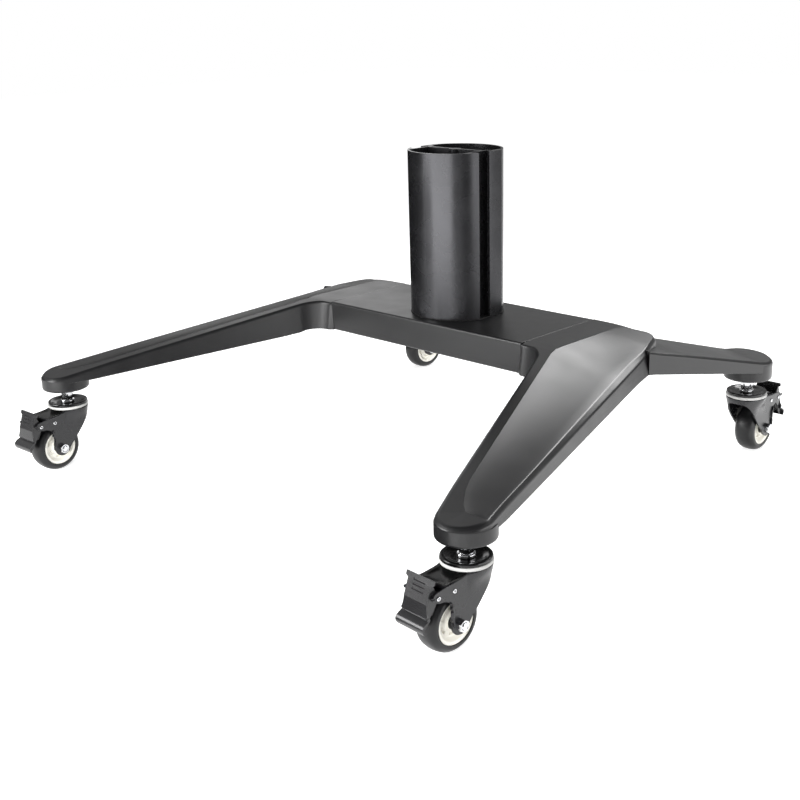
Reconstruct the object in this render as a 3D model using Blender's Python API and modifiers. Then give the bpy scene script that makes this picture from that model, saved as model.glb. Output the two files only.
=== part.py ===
"""Rolling base of a television cart: a hollow crossbar between two cast legs, four braked swivel
casters on threaded stems, and the foot of the extruded aluminium column with its side slots."""

import math

import bmesh
import bpy
from mathutils import Matrix, Vector

MM = 0.001
CLEARANCE = 0.3

# Crossbar, heights above the floor
BAR_TOP = 221.3
BAR_HEIGHT = 45.2
BAR_HALF_LENGTH = 192.8
BAR_HALF_DEPTH = 84.1
BAR_WALL = 4.0
BAR_EDGE = 3.0

# Column extrusion, plan sizes from its own axis
COLUMN_HEIGHT = 243.0
COLUMN_HALF_WIDTH = 67.8
COLUMN_HALF_DEPTH = 68.0
COLUMN_SIDE_HALF = 24.7
ARC_OVER_WIDTH = 6.9
COLUMN_WALL = 3.0
SLOT_FRONT = -24.7
SLOT_BACK = -2.0
SLOT_DEPTH = 12.8
SLOT_UNDERCUT_FRONT = -30.0
SLOT_UNDERCUT_BACK = 8.0
PORT_RADIUS = 9.0
WEB_HALF = 3.0
GASKET_THICKNESS = 1.0

# Legs, plan points from the middle of their seam and heights from the crossbar's top
FRONT_STEM = (217.6, -443.2)
REAR_STEM = (159.8, 255.5)
TIP_RADIUS = 34.5
BOSS_RADIUS = 35.0
BOSS_BOTTOM = 123.3
HUB_CORNER = (138.2, 22.0)
FRONT_INNER_X = 38.0
FRONT_FILLET = 46.0
INNER_WALL_RUN = 0.4011
INNER_WALL_LEAN = 0.176
LEAN_FROM_HUB = -5.0
LEAN_FROM_TIP = -73.0
REAR_INNER_X = 60.9
REAR_FILLET = 30.0
CREASE_X = 55.2
LEG_EDGE = 4.0
LEG_WALL = 7.0
SPIGOT_LENGTH = 50.0
SPIGOT_HALF_DEPTH = 40.0

# Caster, sizes from its swivel axis and the floor
TRAIL = 31.4
AXLE_HEIGHT = 37.5
WHEEL_RADIUS = 37.5
WHEEL_HALF_WIDTH = 15.85
SHOULDER_DROP = 5.6
HUB_RADIUS = 26.5
FORK_TOP = 91.6
FORK_HALF_INSIDE = 18.8
FORK_HALF_OUTSIDE = 21.5
NECK_RADIUS = 29.2
WEB_BOTTOM = 86.9
DISC_RADIUS = 29.3
RING_RADIUS = 30.5
STEM_THREAD_RADIUS = 6.0
STEM_ENGAGED = 22.0
KINGPIN_RADIUS = 4.0
AXLE_RADIUS = 4.0
BOLT_HEAD_FACE = 27.4
HEX_RADIUS = 7.5
PIVOT = (63.0, 79.5)
TIE_RIVET = (39.6, 80.0)
RIVET_RADIUS = 1.9
RIVET_HEAD_RADIUS = 2.8
PEDAL_HALF_WIDTH = 17.0
PEDAL_EAR_HALF = 21.0
PEDAL_REACH = 86.5
LIP_TOP = 58.0

# Frame bolts
BOLT_RADIUS = 5.0
BOLT_HEAD_RADIUS = 9.0
BOLT_HEAD_HEIGHT = 6.0
LEG_BOLT_INSET = 24.8

# Direction in which each caster trails, in degrees from +X
CASTERS = {
    "front_left": (-BAR_HALF_LENGTH - FRONT_STEM[0], FRONT_STEM[1], -87.0),
    "front_right": (BAR_HALF_LENGTH + FRONT_STEM[0], FRONT_STEM[1], -93.0),
    "rear_left": (-BAR_HALF_LENGTH - REAR_STEM[0], REAR_STEM[1], 85.0),
    "rear_right": (BAR_HALF_LENGTH + REAR_STEM[0], REAR_STEM[1], 91.0),
}


def pedal_reach(trail_degrees):
    """How far a brake pedal reaches along Y from its swivel axis."""
    angle = math.radians(trail_degrees)
    return PEDAL_REACH * abs(math.sin(angle)) + PEDAL_EAR_HALF * abs(math.cos(angle))


def column_offset():
    """How far behind the middle of the whole base the column's axis stands."""
    front = max(pedal_reach(c[2]) - c[1] for c in CASTERS.values() if c[1] < 0)
    rear = max(pedal_reach(c[2]) + c[1] for c in CASTERS.values() if c[1] > 0)
    return (front - rear) / 2


# Scene, materials and shape helpers


def new_collection(name, hidden=False):
    made = bpy.data.collections.new(name)
    bpy.context.scene.collection.children.link(made)
    made.hide_render = hidden
    return made


def material(name, grey, roughness, metallic):
    made = bpy.data.materials.new(name)
    made.use_nodes = True
    shader = made.node_tree.nodes["Principled BSDF"]
    shader.inputs["Base Color"].default_value = (*grey, 1.0)
    shader.inputs["Roughness"].default_value = roughness
    shader.inputs["Metallic"].default_value = metallic
    made.diffuse_color = (*grey, 1.0)
    return made


def scaled(points):
    return [tuple(value * MM for value in point) for point in points]


def arc(centre, radius, start, end, steps):
    """Plan points on an arc, its angles in degrees."""
    found = []
    for step in range(steps + 1):
        angle = math.radians(start + (end - start) * step / steps)
        found.append((centre[0] + radius * math.cos(angle), centre[1] + radius * math.sin(angle)))
    return found


def helper(name, data):
    made = bpy.data.objects.new(name, data)
    SHOP.objects.link(made)
    made.hide_render = True
    made.display_type = "WIRE"
    return made


def clean_mesh(source):
    """The evaluated mesh of a helper as one welded body that faces outwards."""
    bpy.context.view_layer.update()
    graph = bpy.context.evaluated_depsgraph_get()
    mesh = bpy.data.meshes.new_from_object(source.evaluated_get(graph), depsgraph=graph)
    mesh.transform(source.matrix_world)
    bpy.data.objects.remove(source)
    work = bmesh.new()
    work.from_mesh(mesh)
    bmesh.ops.remove_doubles(work, verts=work.verts, dist=1e-6)
    bmesh.ops.recalc_face_normals(work, faces=work.faces)
    work.to_mesh(mesh)
    work.free()
    return mesh


def prism(outlines, low, high, plane="XY"):
    """A plate cut from closed outlines, the first outside and the others holes."""
    curve = bpy.data.curves.new("outline", "CURVE")
    curve.dimensions = "2D"
    curve.fill_mode = "BOTH"
    curve.extrude = (high - low) / 2 * MM
    for outline in outlines:
        spline = curve.splines.new("POLY")
        spline.points.add(len(outline) - 1)
        for point, place in zip(spline.points, outline):
            point.co = (place[0] * MM, place[1] * MM, 0.0, 1.0)
        spline.use_cyclic_u = True
    made = helper("plate", curve)
    made.location = (0.0, 0.0, (low + high) / 2 * MM)
    if plane == "XZ":
        made.rotation_euler = (math.radians(90.0), 0.0, 0.0)
        made.location = (0.0, -(low + high) / 2 * MM, 0.0)
    return clean_mesh(made)


def turned(profile, steps, axis="Z", closed=False):
    """A profile of radius and height swept a full turn."""
    mesh = bpy.data.meshes.new("profile")
    if axis == "Z":
        points = [(radius, 0.0, height) for radius, height in profile]
    else:
        points = [(radius, height, 0.0) for radius, height in profile]
    edges = [(step, step + 1) for step in range(len(profile) - 1)]
    if closed:
        edges.append((len(profile) - 1, 0))
    mesh.from_pydata(scaled(points), edges, [])
    made = helper("turned", mesh)
    screw = made.modifiers.new("turn", "SCREW")
    screw.axis = axis
    screw.steps = steps
    screw.render_steps = steps
    screw.use_merge_vertices = True
    screw.merge_threshold = 1e-6
    return clean_mesh(made)


def loft(sections):
    """A closed body through sections that have the same number of points."""
    mesh = bpy.data.meshes.new("loft")
    count = len(sections[0])
    points = [point for section in sections for point in section]
    faces = [tuple(range(count)), tuple(range(len(points) - count, len(points)))]
    for row in range(len(sections) - 1):
        for column in range(count):
            after = (column + 1) % count
            faces.append(
                (
                    row * count + column,
                    row * count + after,
                    (row + 1) * count + after,
                    (row + 1) * count + column,
                )
            )
    mesh.from_pydata(scaled(points), [], faces)
    return clean_mesh(helper("loft", mesh))


def box(low, high):
    work = bmesh.new()
    bmesh.ops.create_cube(work, size=1.0)
    for vertex in work.verts:
        share = vertex.co + Vector((0.5, 0.5, 0.5))
        vertex.co = [(a + (b - a) * s) * MM for a, b, s in zip(low, high, share)]
    mesh = bpy.data.meshes.new("box")
    work.to_mesh(mesh)
    work.free()
    return mesh


def hexagon(radius):
    return arc((0.0, 0.0), radius, 0.0, 300.0, 5)


def circle(centre, radius, steps):
    return arc(centre, radius, 0.0, 360.0 - 360.0 / steps, steps - 1)


def combined(mesh, others, operation):
    """The mesh after a Boolean with each other mesh in turn."""
    for other in others:
        body = helper("body", mesh)
        tool = helper("tool", other)
        change = body.modifiers.new("cut", "BOOLEAN")
        change.operation = operation
        change.solver = "EXACT"
        change.object = tool
        mesh = clean_mesh(body)
        bpy.data.objects.remove(tool)
    return mesh


def cut(mesh, *others):
    return combined(mesh, others, "DIFFERENCE")


def joined(mesh, *others):
    return combined(mesh, others, "UNION")


def common(mesh, *others):
    return combined(mesh, others, "INTERSECT")


def beveled(mesh, width, segments, least_angle):
    body = helper("bevel", mesh)
    bevel = body.modifiers.new("edges", "BEVEL")
    bevel.width = width * MM
    bevel.segments = segments
    bevel.limit_method = "ANGLE"
    bevel.angle_limit = math.radians(least_angle)
    return clean_mesh(body)


def place(name, mesh, look, parent, location=(0.0, 0.0, 0.0)):
    """One piece in the object's collection, smooth where its faces nearly agree."""
    made = bpy.data.objects.new(name, mesh)
    CART.objects.link(made)
    made.parent = parent
    made.location = scaled([location])[0]
    if not mesh.materials:
        mesh.materials.append(look)
    mesh.shade_smooth()
    mesh.set_sharp_from_angle(angle=math.radians(32.0))
    return made


def pivot(name, location, parent=None, turn=0.0):
    made = bpy.data.objects.new(name, None)
    CART.objects.link(made)
    made.empty_display_size = 0.03
    made.parent = parent
    made.location = scaled([location])[0]
    made.rotation_euler = (0.0, 0.0, math.radians(turn))
    return made


# Legs


def fillet(corner, before, after, radius, steps):
    """Arc points that round a corner between two unit directions that leave it."""
    before = Vector(before).normalized()
    after = Vector(after).normalized()
    half = before.angle(after) / 2
    reach = radius / math.tan(half)
    middle = Vector(corner) + (before + after).normalized() * (radius / math.sin(half))
    start = Vector(corner) + before * reach - middle
    end = Vector(corner) + after * reach - middle
    found = []
    for step in range(steps + 1):
        share = step / steps
        spoke = start.slerp(end, share)
        found.append(tuple(middle + spoke.normalized() * radius))
    return found


def tangent(point, centre, radius, side):
    """Where a line from the point touches the circle."""
    away = Vector(centre) - Vector(point)
    angle = math.asin(radius / away.length) * side
    along = math.sqrt(away.length_squared - radius * radius)
    direction = Matrix.Rotation(angle, 2) @ away.normalized()
    return tuple(Vector(point) + direction * along)


def tip(start, end, centre, steps):
    """The long way round a leg's end, from one wall to the other."""
    first = math.atan2(start[1] - centre[1], start[0] - centre[0])
    last = math.atan2(end[1] - centre[1], end[0] - centre[0])
    if last < first:
        last += math.tau
    near = math.dist(start, centre)
    far = math.dist(end, centre)
    found = []
    for step in range(steps + 1):
        angle = first + (last - first) * step / steps
        radius = near + (far - near) * step / steps
        found.append((centre[0] + radius * math.cos(angle), centre[1] + radius * math.sin(angle)))
    return found


def front_outline(level):
    """Plan of the front leg at one height. Its inner wall leans out towards the floor."""
    start = (FRONT_INNER_X + INNER_WALL_LEAN * (level - LEAN_FROM_HUB), -BAR_HALF_DEPTH)
    slant = math.hypot(1.0, INNER_WALL_RUN)
    inner_radius = TIP_RADIUS - INNER_WALL_LEAN / slant * max(level - LEAN_FROM_TIP, 0.0)
    outer = tangent(HUB_CORNER, FRONT_STEM, TIP_RADIUS, 1)
    inner = tangent(start, FRONT_STEM, inner_radius, -1)
    along = Vector(inner) - Vector(start)
    return [
        (CLEARANCE, BAR_HALF_DEPTH),
        (CLEARANCE, -BAR_HALF_DEPTH),
        *fillet(start, (-1.0, 0.0), along, FRONT_FILLET * start[0] / FRONT_INNER_X, 5),
        *tip(inner, outer, FRONT_STEM, 12),
        HUB_CORNER,
        *arc((91.2, BAR_HALF_DEPTH - 15.1), 27.0, 20.0, 100.0, 4),
        (69.2, BAR_HALF_DEPTH + 4.9),
        (53.2, BAR_HALF_DEPTH),
    ]


def rear_outline():
    """Plan of the rear leg, which leaves from under the shoulder."""
    outer = tangent(HUB_CORNER, REAR_STEM, TIP_RADIUS, -1)
    start = (REAR_INNER_X, BAR_HALF_DEPTH)
    inner = tangent(start, REAR_STEM, TIP_RADIUS, 1)
    along = Vector(inner) - Vector(start)
    return [
        (14.0, 40.0),
        (107.2, 40.0),
        HUB_CORNER,
        *tip(outer, inner, REAR_STEM, 12),
        *reversed(fillet(start, (-1.0, 0.0), along, REAR_FILLET, 4)),
        (14.0, BAR_HALF_DEPTH),
    ]


def strip_height(y):
    return min(0.0, 0.187 * (y + 65.0))


def shoulder_height(y):
    return min(-15.4 + 0.1257 * y, -12.4 + 0.055 * y)


def shoulder_x(y):
    return 130.1 - 0.268 * y


def inner_wall_x(y):
    return FRONT_INNER_X + (-BAR_HALF_DEPTH - y) * INNER_WALL_RUN


def outer_wall_x(y):
    return HUB_CORNER[0] + (HUB_CORNER[1] - y) * 0.2471


def crease_x(y):
    return max(CREASE_X, inner_wall_x(y) + 17.0)


def front_section(y):
    """Five-sided section of the front leg: level strip, long slope, edge band and underside."""
    band = 11.0 - 0.008 * (22.0 - y)
    edge = (shoulder_x(y), shoulder_height(y))
    wall = max(outer_wall_x(y), shoulder_x(y) + 4.0)
    fall = band / (wall - edge[0])
    inside = -8.0 if y > -120.0 else inner_wall_x(y) - 15.0
    return [
        (inside, y, strip_height(y)),
        (crease_x(y), y, strip_height(y)),
        (edge[0], y, edge[1]),
        (wall + 2.0, y, edge[1] - band - 2.0 * fall),
        (wall + 2.0, y, min(-BAR_HEIGHT, -42.6 - 0.0987 * (22.8 - y))),
        (inside, y, min(-BAR_HEIGHT, -50.7 - 0.1034 * (-120.0 - y))),
    ]


def rear_section(y):
    """Four-sided section of the rear leg."""
    inside = max(min(-9.0, -10.0 - 0.291 * (y - 94.0)), -32.4 - 0.093 * y)
    outside = max(-13.8 - 0.2554 * (y - 22.0), -48.2 - 0.09 * y)
    x_inside = 12.2 + 0.363 * (y - 40.0)
    x_outside = 143.2 + 0.2455 * (y - 22.0)
    under = min(-BAR_HEIGHT, -44.6 - 0.18 * (y - 22.6))
    return [
        (x_inside, y, inside),
        (x_outside, y, outside),
        (x_outside, y, under),
        (x_inside, y, under),
    ]


def pocket(corners, depth, floor):
    """A hollow open below, its roof under the given top corners."""
    roof = [(x, y, z - depth) for x, y, z in corners]
    base = [(x, y, floor) for x, y, z in corners]
    return loft([roof, base])


def leg_mesh():
    """The right-hand casting."""
    front = loft([front_section(y) for y in (105.0, 20.0, -56.0, -65.0, -92.0, -200.0, -330.0, -485.0)])
    levels = (20.0, LEAN_FROM_TIP, -130.0)
    walls = [[(x, y, level) for x, y in front_outline(level)] for level in levels]
    front = common(front, loft(walls))
    front = beveled(front, LEG_EDGE, 2, 50.0)
    rear = loft([rear_section(y) for y in (30.0, 80.0, 120.0, 250.0, 295.0)])
    rear = common(rear, prism([rear_outline()], -130.0, 20.0))
    rear = beveled(rear, LEG_EDGE, 2, 50.0)
    bosses = [
        prism([circle(stem, BOSS_RADIUS, 24)], BOSS_BOTTOM - BAR_TOP, top)
        for stem, top in ((FRONT_STEM, -82.0), (REAR_STEM, -78.0))
    ]
    spigot = box(
        (-SPIGOT_LENGTH, -SPIGOT_HALF_DEPTH, -BAR_HEIGHT + BAR_WALL + CLEARANCE),
        (8.0, SPIGOT_HALF_DEPTH, -BAR_WALL - CLEARANCE),
    )
    solid = joined(front, rear, *bosses, spigot)
    low = -130.0
    reach = BAR_HALF_DEPTH - 24.1
    hollows = [
        pocket(
            [
                (inner_wall_x(-125.0) + LEG_WALL, -125.0, strip_height(-125.0)),
                (shoulder_x(-125.0) - 4.0, -125.0, shoulder_height(-125.0)),
                (shoulder_x(-390.0) - 3.0, -390.0, shoulder_height(-390.0)),
                (inner_wall_x(-390.0) + LEG_WALL, -390.0, strip_height(-390.0)),
            ],
            LEG_WALL,
            low,
        ),
        pocket([(29.2, -reach, -12.0), (103.2, -reach, -17.0), (90.2, reach, -11.0), (29.2, reach, -7.0)], LEG_WALL, low),
        pocket([(79.2, 105.0, -21.0), (145.2, 105.0, -34.0), (172.2, 212.0, -62.0), (118.2, 212.0, -48.0)], 6.0, low),
    ]
    holes = [
        prism([circle(stem, STEM_THREAD_RADIUS + CLEARANCE, 12)], low, BOSS_BOTTOM - BAR_TOP + STEM_ENGAGED + 2.0)
        for stem in (FRONT_STEM, REAR_STEM)
    ]
    holes.append(prism([circle((-LEG_BOLT_INSET, 0.0), BOLT_RADIUS + CLEARANCE, 12)], low, -12.0))
    mesh = cut(solid, *hollows, *holes)
    mesh.transform(Matrix.Translation((BAR_HALF_LENGTH * MM, 0.0, BAR_TOP * MM)))
    return mesh


def mirrored(mesh):
    """The left-hand copy of a right-hand body."""
    made = mesh.copy()
    made.transform(Matrix.Scale(-1.0, 4, (1.0, 0.0, 0.0)))
    made.flip_normals()
    return made


# Crossbar and column


def crossbar_mesh():
    """A rectangular tube with rounded long edges, drilled for the column and leg bolts."""
    low = BAR_TOP - BAR_HEIGHT
    body = box((-BAR_HALF_LENGTH, -BAR_HALF_DEPTH, low), (BAR_HALF_LENGTH, BAR_HALF_DEPTH, BAR_TOP))
    body = beveled(body, BAR_EDGE, 2, 60.0)
    inside = box(
        (-BAR_HALF_LENGTH - 5.0, -BAR_HALF_DEPTH + BAR_WALL, low + BAR_WALL),
        (BAR_HALF_LENGTH + 5.0, BAR_HALF_DEPTH - BAR_WALL, BAR_TOP - BAR_WALL),
    )
    tool_hole = prism([circle((0.0, 0.0), 12.0, 16)], low - 5.0, low + 10.0)
    through = [prism([circle((0.0, 0.0), BOLT_RADIUS + CLEARANCE, 12)], BAR_TOP - 10.0, BAR_TOP + 5.0)]
    for side in (-1.0, 1.0):
        spot = (side * (BAR_HALF_LENGTH - LEG_BOLT_INSET), 0.0)
        through.append(prism([circle(spot, BOLT_RADIUS + CLEARANCE, 12)], low - 5.0, low + 10.0))
    return cut(body, inside, tool_hole, *through)


def wall_arc(inset, front, half_width, steps):
    """The curved front or back wall from its right end to its left end."""
    full = COLUMN_HALF_WIDTH + ARC_OVER_WIDTH
    radius = full - inset
    centre = (0.0, full - COLUMN_HALF_DEPTH if front else COLUMN_HALF_DEPTH - full)
    half = math.degrees(math.asin(half_width / radius))
    if front:
        return arc(centre, radius, -90.0 + half, -90.0 - half, steps)
    return arc(centre, radius, 90.0 - half, 90.0 + half, steps)


def column_outlines():
    """The extrusion's outside with a slot in each side, two chambers and the screw port."""
    lip = COLUMN_HALF_WIDTH - COLUMN_WALL
    floor = COLUMN_HALF_WIDTH - SLOT_DEPTH
    slot = [
        (COLUMN_HALF_WIDTH, COLUMN_SIDE_HALF),
        (COLUMN_HALF_WIDTH, SLOT_BACK),
        (lip, SLOT_BACK),
        (lip, SLOT_UNDERCUT_BACK),
        (floor, SLOT_UNDERCUT_BACK),
        (floor, SLOT_UNDERCUT_FRONT),
        (lip - 3.5, SLOT_UNDERCUT_FRONT),
        (lip, SLOT_FRONT),
    ]
    outside = [
        *slot,
        *wall_arc(0.0, True, COLUMN_HALF_WIDTH - 0.01, 14),
        *[(-x, y) for x, y in reversed(slot)],
        *reversed(wall_arc(0.0, False, COLUMN_HALF_WIDTH - 2.0, 14)),
    ]
    chamber = floor - COLUMN_WALL
    bump = math.degrees(math.asin(WEB_HALF / PORT_RADIUS))
    front = [
        (chamber, -WEB_HALF),
        *wall_arc(COLUMN_WALL, True, chamber, 8),
        (-chamber, -WEB_HALF),
        *arc((0.0, 0.0), PORT_RADIUS, 180.0 + bump, 360.0 - bump, 6),
    ]
    side = SLOT_UNDERCUT_BACK + COLUMN_WALL
    rear = [
        (chamber, WEB_HALF),
        (chamber, side),
        (lip, side),
        *wall_arc(COLUMN_WALL, False, lip, 8),
        (-lip, side),
        (-chamber, side),
        (-chamber, WEB_HALF),
        *arc((0.0, 0.0), PORT_RADIUS, 180.0 - bump, bump, 6),
    ]
    return [outside, front, rear, circle((0.0, 0.0), BOLT_RADIUS + CLEARANCE, 12)]


def gasket_outlines():
    rim = [
        *wall_arc(-0.6, True, COLUMN_HALF_WIDTH, 14),
        *reversed(wall_arc(-0.6, False, COLUMN_HALF_WIDTH, 14)),
    ]
    return [rim, circle((0.0, 0.0), BOLT_RADIUS + CLEARANCE, 12)]


def bolt_mesh(length):
    """A round-shank hexagon bolt that points up from the underside of its head at zero."""
    head = prism([hexagon(BOLT_HEAD_RADIUS)], -BOLT_HEAD_HEIGHT, 0.0)
    shank = prism([circle((0.0, 0.0), BOLT_RADIUS, 12)], -BOLT_HEAD_HEIGHT / 2, length)
    return joined(head, shank)


# Caster pieces


def stem_mesh():
    """Threaded stem, hexagon, collar and the riveted kingpin in one turned piece."""
    top = BOSS_BOTTOM + STEM_ENGAGED
    body = turned(
        [
            (0.0, top),
            (STEM_THREAD_RADIUS - 1.0, top),
            (STEM_THREAD_RADIUS, top - 1.0),
            (STEM_THREAD_RADIUS, 117.0),
            (7.0, 112.0),
            (7.0, FORK_TOP + 10.8),
            (10.5, FORK_TOP + 10.3),
            (10.5, FORK_TOP + 5.7),
            (KINGPIN_RADIUS, FORK_TOP + 5.7),
            (KINGPIN_RADIUS, WEB_BOTTOM - CLEARANCE),
            (7.0, WEB_BOTTOM - CLEARANCE),
            (6.0, WEB_BOTTOM - 2.7),
            (0.0, WEB_BOTTOM - 3.1),
        ],
        12,
    )
    return joined(body, prism([hexagon(9.8)], 111.0, BOSS_BOTTOM - CLEARANCE))


def disc_mesh():
    """Pressed top disc with a raised rim round its dish."""
    return turned(
        [
            (KINGPIN_RADIUS + CLEARANCE, FORK_TOP + 5.4),
            (19.0, FORK_TOP + 5.4),
            (24.5, FORK_TOP + 8.4),
            (DISC_RADIUS - 0.9, FORK_TOP + 8.4),
            (DISC_RADIUS, FORK_TOP + 7.2),
            (DISC_RADIUS, FORK_TOP + 4.4),
            (23.4, FORK_TOP + 4.4),
            (18.5, FORK_TOP + 2.0),
            (KINGPIN_RADIUS + CLEARANCE, FORK_TOP + 2.0),
        ],
        20,
        closed=True,
    )


def ring_mesh():
    low = FORK_TOP + CLEARANCE
    high = FORK_TOP + 4.1
    return turned([(24.5, high), (RING_RADIUS, high), (RING_RADIUS, low), (24.5, low)], 20, closed=True)


def race_mesh():
    return turned(arc((22.0, FORK_TOP + 1.55), 1.25, 90.0, -180.0, 3), 14, closed=True)


def fork_section(height, half_width, front, squareness):
    """Level section of the fork: a rounded front, the round neck's flanks and straight cheeks."""
    side = []
    for step in range(6):
        angle = math.radians(90.0 * step / 5)
        along = -front * math.cos(angle) ** (2.0 / squareness)
        across = half_width * math.sin(angle) ** (2.0 / squareness)
        side.append((along, across))
    for share in (0.5, 1.0):
        across = FORK_HALF_OUTSIDE + (half_width - FORK_HALF_OUTSIDE) * (1.0 - share**2)
        side.append((19.8 * share, across))
    side.append((75.0, FORK_HALF_OUTSIDE))
    other = [(along, -across) for along, across in reversed(side[1:])]
    return [(along, across, height) for along, across in side + other]


def fork_profile():
    """Side view of the fork's cheek, from the neck round the nose and the axle."""
    return [
        (-31.0, FORK_TOP + 1.0),
        (17.0, FORK_TOP + 1.0),
        (24.0, 89.6),
        (50.0, 88.4),
        (65.0, 86.5),
        *arc((65.0, 81.0), 5.5, 60.0, -60.0, 3),
        (62.0, 72.8),
        (54.5, 72.5),
        (47.5, 69.0),
        (42.8, 63.5),
        (41.6, 57.0),
        (42.2, 49.0),
        *arc((TRAIL, AXLE_HEIGHT), 12.0, 30.0, -130.0, 5),
        (14.0, 35.0),
        (7.0, 41.0),
        (1.5, 47.0),
        (-8.0, 55.0),
        (-16.6, 66.3),
        (-21.5, 80.0),
        (-31.0, 84.0),
    ]


def fork_mesh():
    """Pressed fork: round neck, skirt, web, and two cheeks drilled for axle and rivets."""
    body = loft(
        [
            fork_section(FORK_TOP, NECK_RADIUS, NECK_RADIUS, 2.0),
            fork_section(88.0, 28.6, 28.0, 2.05),
            fork_section(84.0, 26.0, 26.0, 2.3),
            fork_section(78.0, 22.6, 23.8, 3.0),
            fork_section(70.0, FORK_HALF_OUTSIDE, 22.5, 3.8),
            fork_section(20.0, FORK_HALF_OUTSIDE, 21.5, 4.0),
        ]
    )
    body = common(body, prism([fork_profile()], -35.0, 35.0, "XZ"))
    half = FORK_HALF_INSIDE
    tunnel = box((-45.0, -half, 0.0), (90.0, half, 82.5))
    under_web = box((-17.5, -half, 60.0), (60.0, half, WEB_BOTTOM))
    between_noses = box((51.0, -half, 60.0), (90.0, half, 100.0))
    kingpin = prism([circle((0.0, 0.0), KINGPIN_RADIUS + CLEARANCE, 12)], 60.0, 100.0)
    holes = [
        prism([circle(place_at, radius + CLEARANCE, steps)], -35.0, 35.0, "XZ")
        for place_at, radius, steps in (
            ((TRAIL, AXLE_HEIGHT), AXLE_RADIUS, 12),
            (PIVOT, RIVET_RADIUS, 8),
            (TIE_RIVET, RIVET_RADIUS, 8),
        )
    ]
    return cut(body, tunnel, under_web, between_noses, kingpin, *holes)


def tyre_mesh():
    half = WHEEL_HALF_WIDTH
    inside = HUB_RADIUS + CLEARANCE
    return turned(
        [
            (inside, half),
            (WHEEL_RADIUS - SHOULDER_DROP, half - 0.6),
            (WHEEL_RADIUS - 1.4, half - 5.5),
            (WHEEL_RADIUS, 2.5),
            (WHEEL_RADIUS, -2.5),
            (WHEEL_RADIUS - 1.4, -half + 5.5),
            (WHEEL_RADIUS - SHOULDER_DROP, -half + 0.6),
            (inside, -half),
        ],
        24,
        "Y",
        True,
    )


def wheel_hub_mesh():
    bore = AXLE_RADIUS + CLEARANCE
    side = [
        (bore, FORK_HALF_INSIDE - 0.4),
        (8.5, FORK_HALF_INSIDE - 0.4),
        (10.5, 8.5),
        (19.5, 7.5),
        (23.5, 14.4),
        (HUB_RADIUS, 14.4),
    ]
    return turned(side + [(x, -y) for x, y in reversed(side)], 18, "Y", True)


def axle_bolt_mesh():
    inner = FORK_HALF_OUTSIDE + CLEARANCE
    head = prism([hexagon(HEX_RADIUS)], -BOLT_HEAD_FACE, -inner, "XZ")
    shank = prism([circle((0.0, 0.0), AXLE_RADIUS, 12)], -inner - 2.0, 29.5, "XZ")
    return joined(head, shank)


def axle_nut_mesh():
    inner = FORK_HALF_OUTSIDE + CLEARANCE
    return prism([hexagon(HEX_RADIUS), circle((0.0, 0.0), AXLE_RADIUS + CLEARANCE, 12)], inner, inner + 6.5, "XZ")


def rivet_mesh():
    face = FORK_HALF_OUTSIDE + CLEARANCE
    side = [(0.0, face + 1.1), (RIVET_HEAD_RADIUS - 0.6, face + 1.1), (RIVET_HEAD_RADIUS, face), (RIVET_RADIUS, face)]
    return turned(side + [(x, -y) for x, y in reversed(side)], 8, "Y")


def pedal_mesh():
    """Pressed pedal: eared treadle, flared lip, three slots and two flanges on the pivot."""
    plate = prism(
        [
            [
                (68.0, 100.5), (70.0, 95.5), (74.0, 90.0), (76.8, 82.0), (77.0, 70.0), (77.6, 62.0),
                (79.0, 57.5), (84.5, 53.8), (PEDAL_REACH, 51.0), (84.0, 44.0),
                (81.6, 45.0), (82.6, 50.4), (77.0, 55.5), (75.4, 61.5), (74.8, 70.0), (74.6, 81.2),
                (72.2, 88.8), (68.3, 94.4), (66.2, 99.4),
            ]
        ],
        -PEDAL_EAR_HALF,
        PEDAL_EAR_HALF,
        "XZ",
    )
    half = PEDAL_HALF_WIDTH + 0.5
    sides = [
        box((60.0, half, LIP_TOP), (90.0, half + 20.0, 95.0)),
        box((60.0, -half - 20.0, LIP_TOP), (90.0, -half, 95.0)),
    ]
    flange = [
        (67.4, 97.0), (73.2, 88.8), (75.8, 81.2), (76.0, 70.0), (76.6, 61.0), (80.0, 54.0), (83.6, 50.0),
        (82.6, 45.2), (76.6, 50.5), (71.0, 60.0), (59.5, 75.0), (58.0, 80.0), (63.0, 85.6),
    ]
    inner = FORK_HALF_INSIDE - 2.4
    flanges = [
        prism([flange, circle(PIVOT, RIVET_RADIUS + CLEARANCE, 8)], inner, FORK_HALF_INSIDE - 0.5, "XZ"),
        prism([flange, circle(PIVOT, RIVET_RADIUS + CLEARANCE, 8)], -FORK_HALF_INSIDE + 0.5, -inner, "XZ"),
    ]
    slots = [box((60.0, -7.0, height - 1.0), (90.0, 7.0, height + 1.0)) for height in (93.0, 88.0, 83.0)]
    mesh = cut(joined(cut(plate, *sides), *flanges), *slots)
    mesh.transform(Matrix.Translation((-PIVOT[0] * MM, 0.0, -PIVOT[1] * MM)))
    return mesh


def shoe_mesh():
    """Brake shoe on the pedal's rivet, its pad facing the tread."""
    outline = [
        *arc(PIVOT, 4.2, -20.0, 200.0, 5),
        (61.0, 71.0),
        (64.4, 64.4),
        (66.9, 60.0),
        (70.0, 60.4),
        (68.0, 66.5),
        (67.0, 74.0),
    ]
    half = FORK_HALF_INSIDE - 2.4 - CLEARANCE
    mesh = prism([outline, circle(PIVOT, RIVET_RADIUS + CLEARANCE, 8)], -half, half, "XZ")
    mesh.transform(Matrix.Translation((-PIVOT[0] * MM, 0.0, -PIVOT[1] * MM)))
    return mesh


# Assembly

for leftover in list(bpy.data.objects):
    bpy.data.objects.remove(leftover)

CART = new_collection("tv_cart_base")
SHOP = new_collection("helpers", hidden=True)

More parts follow.
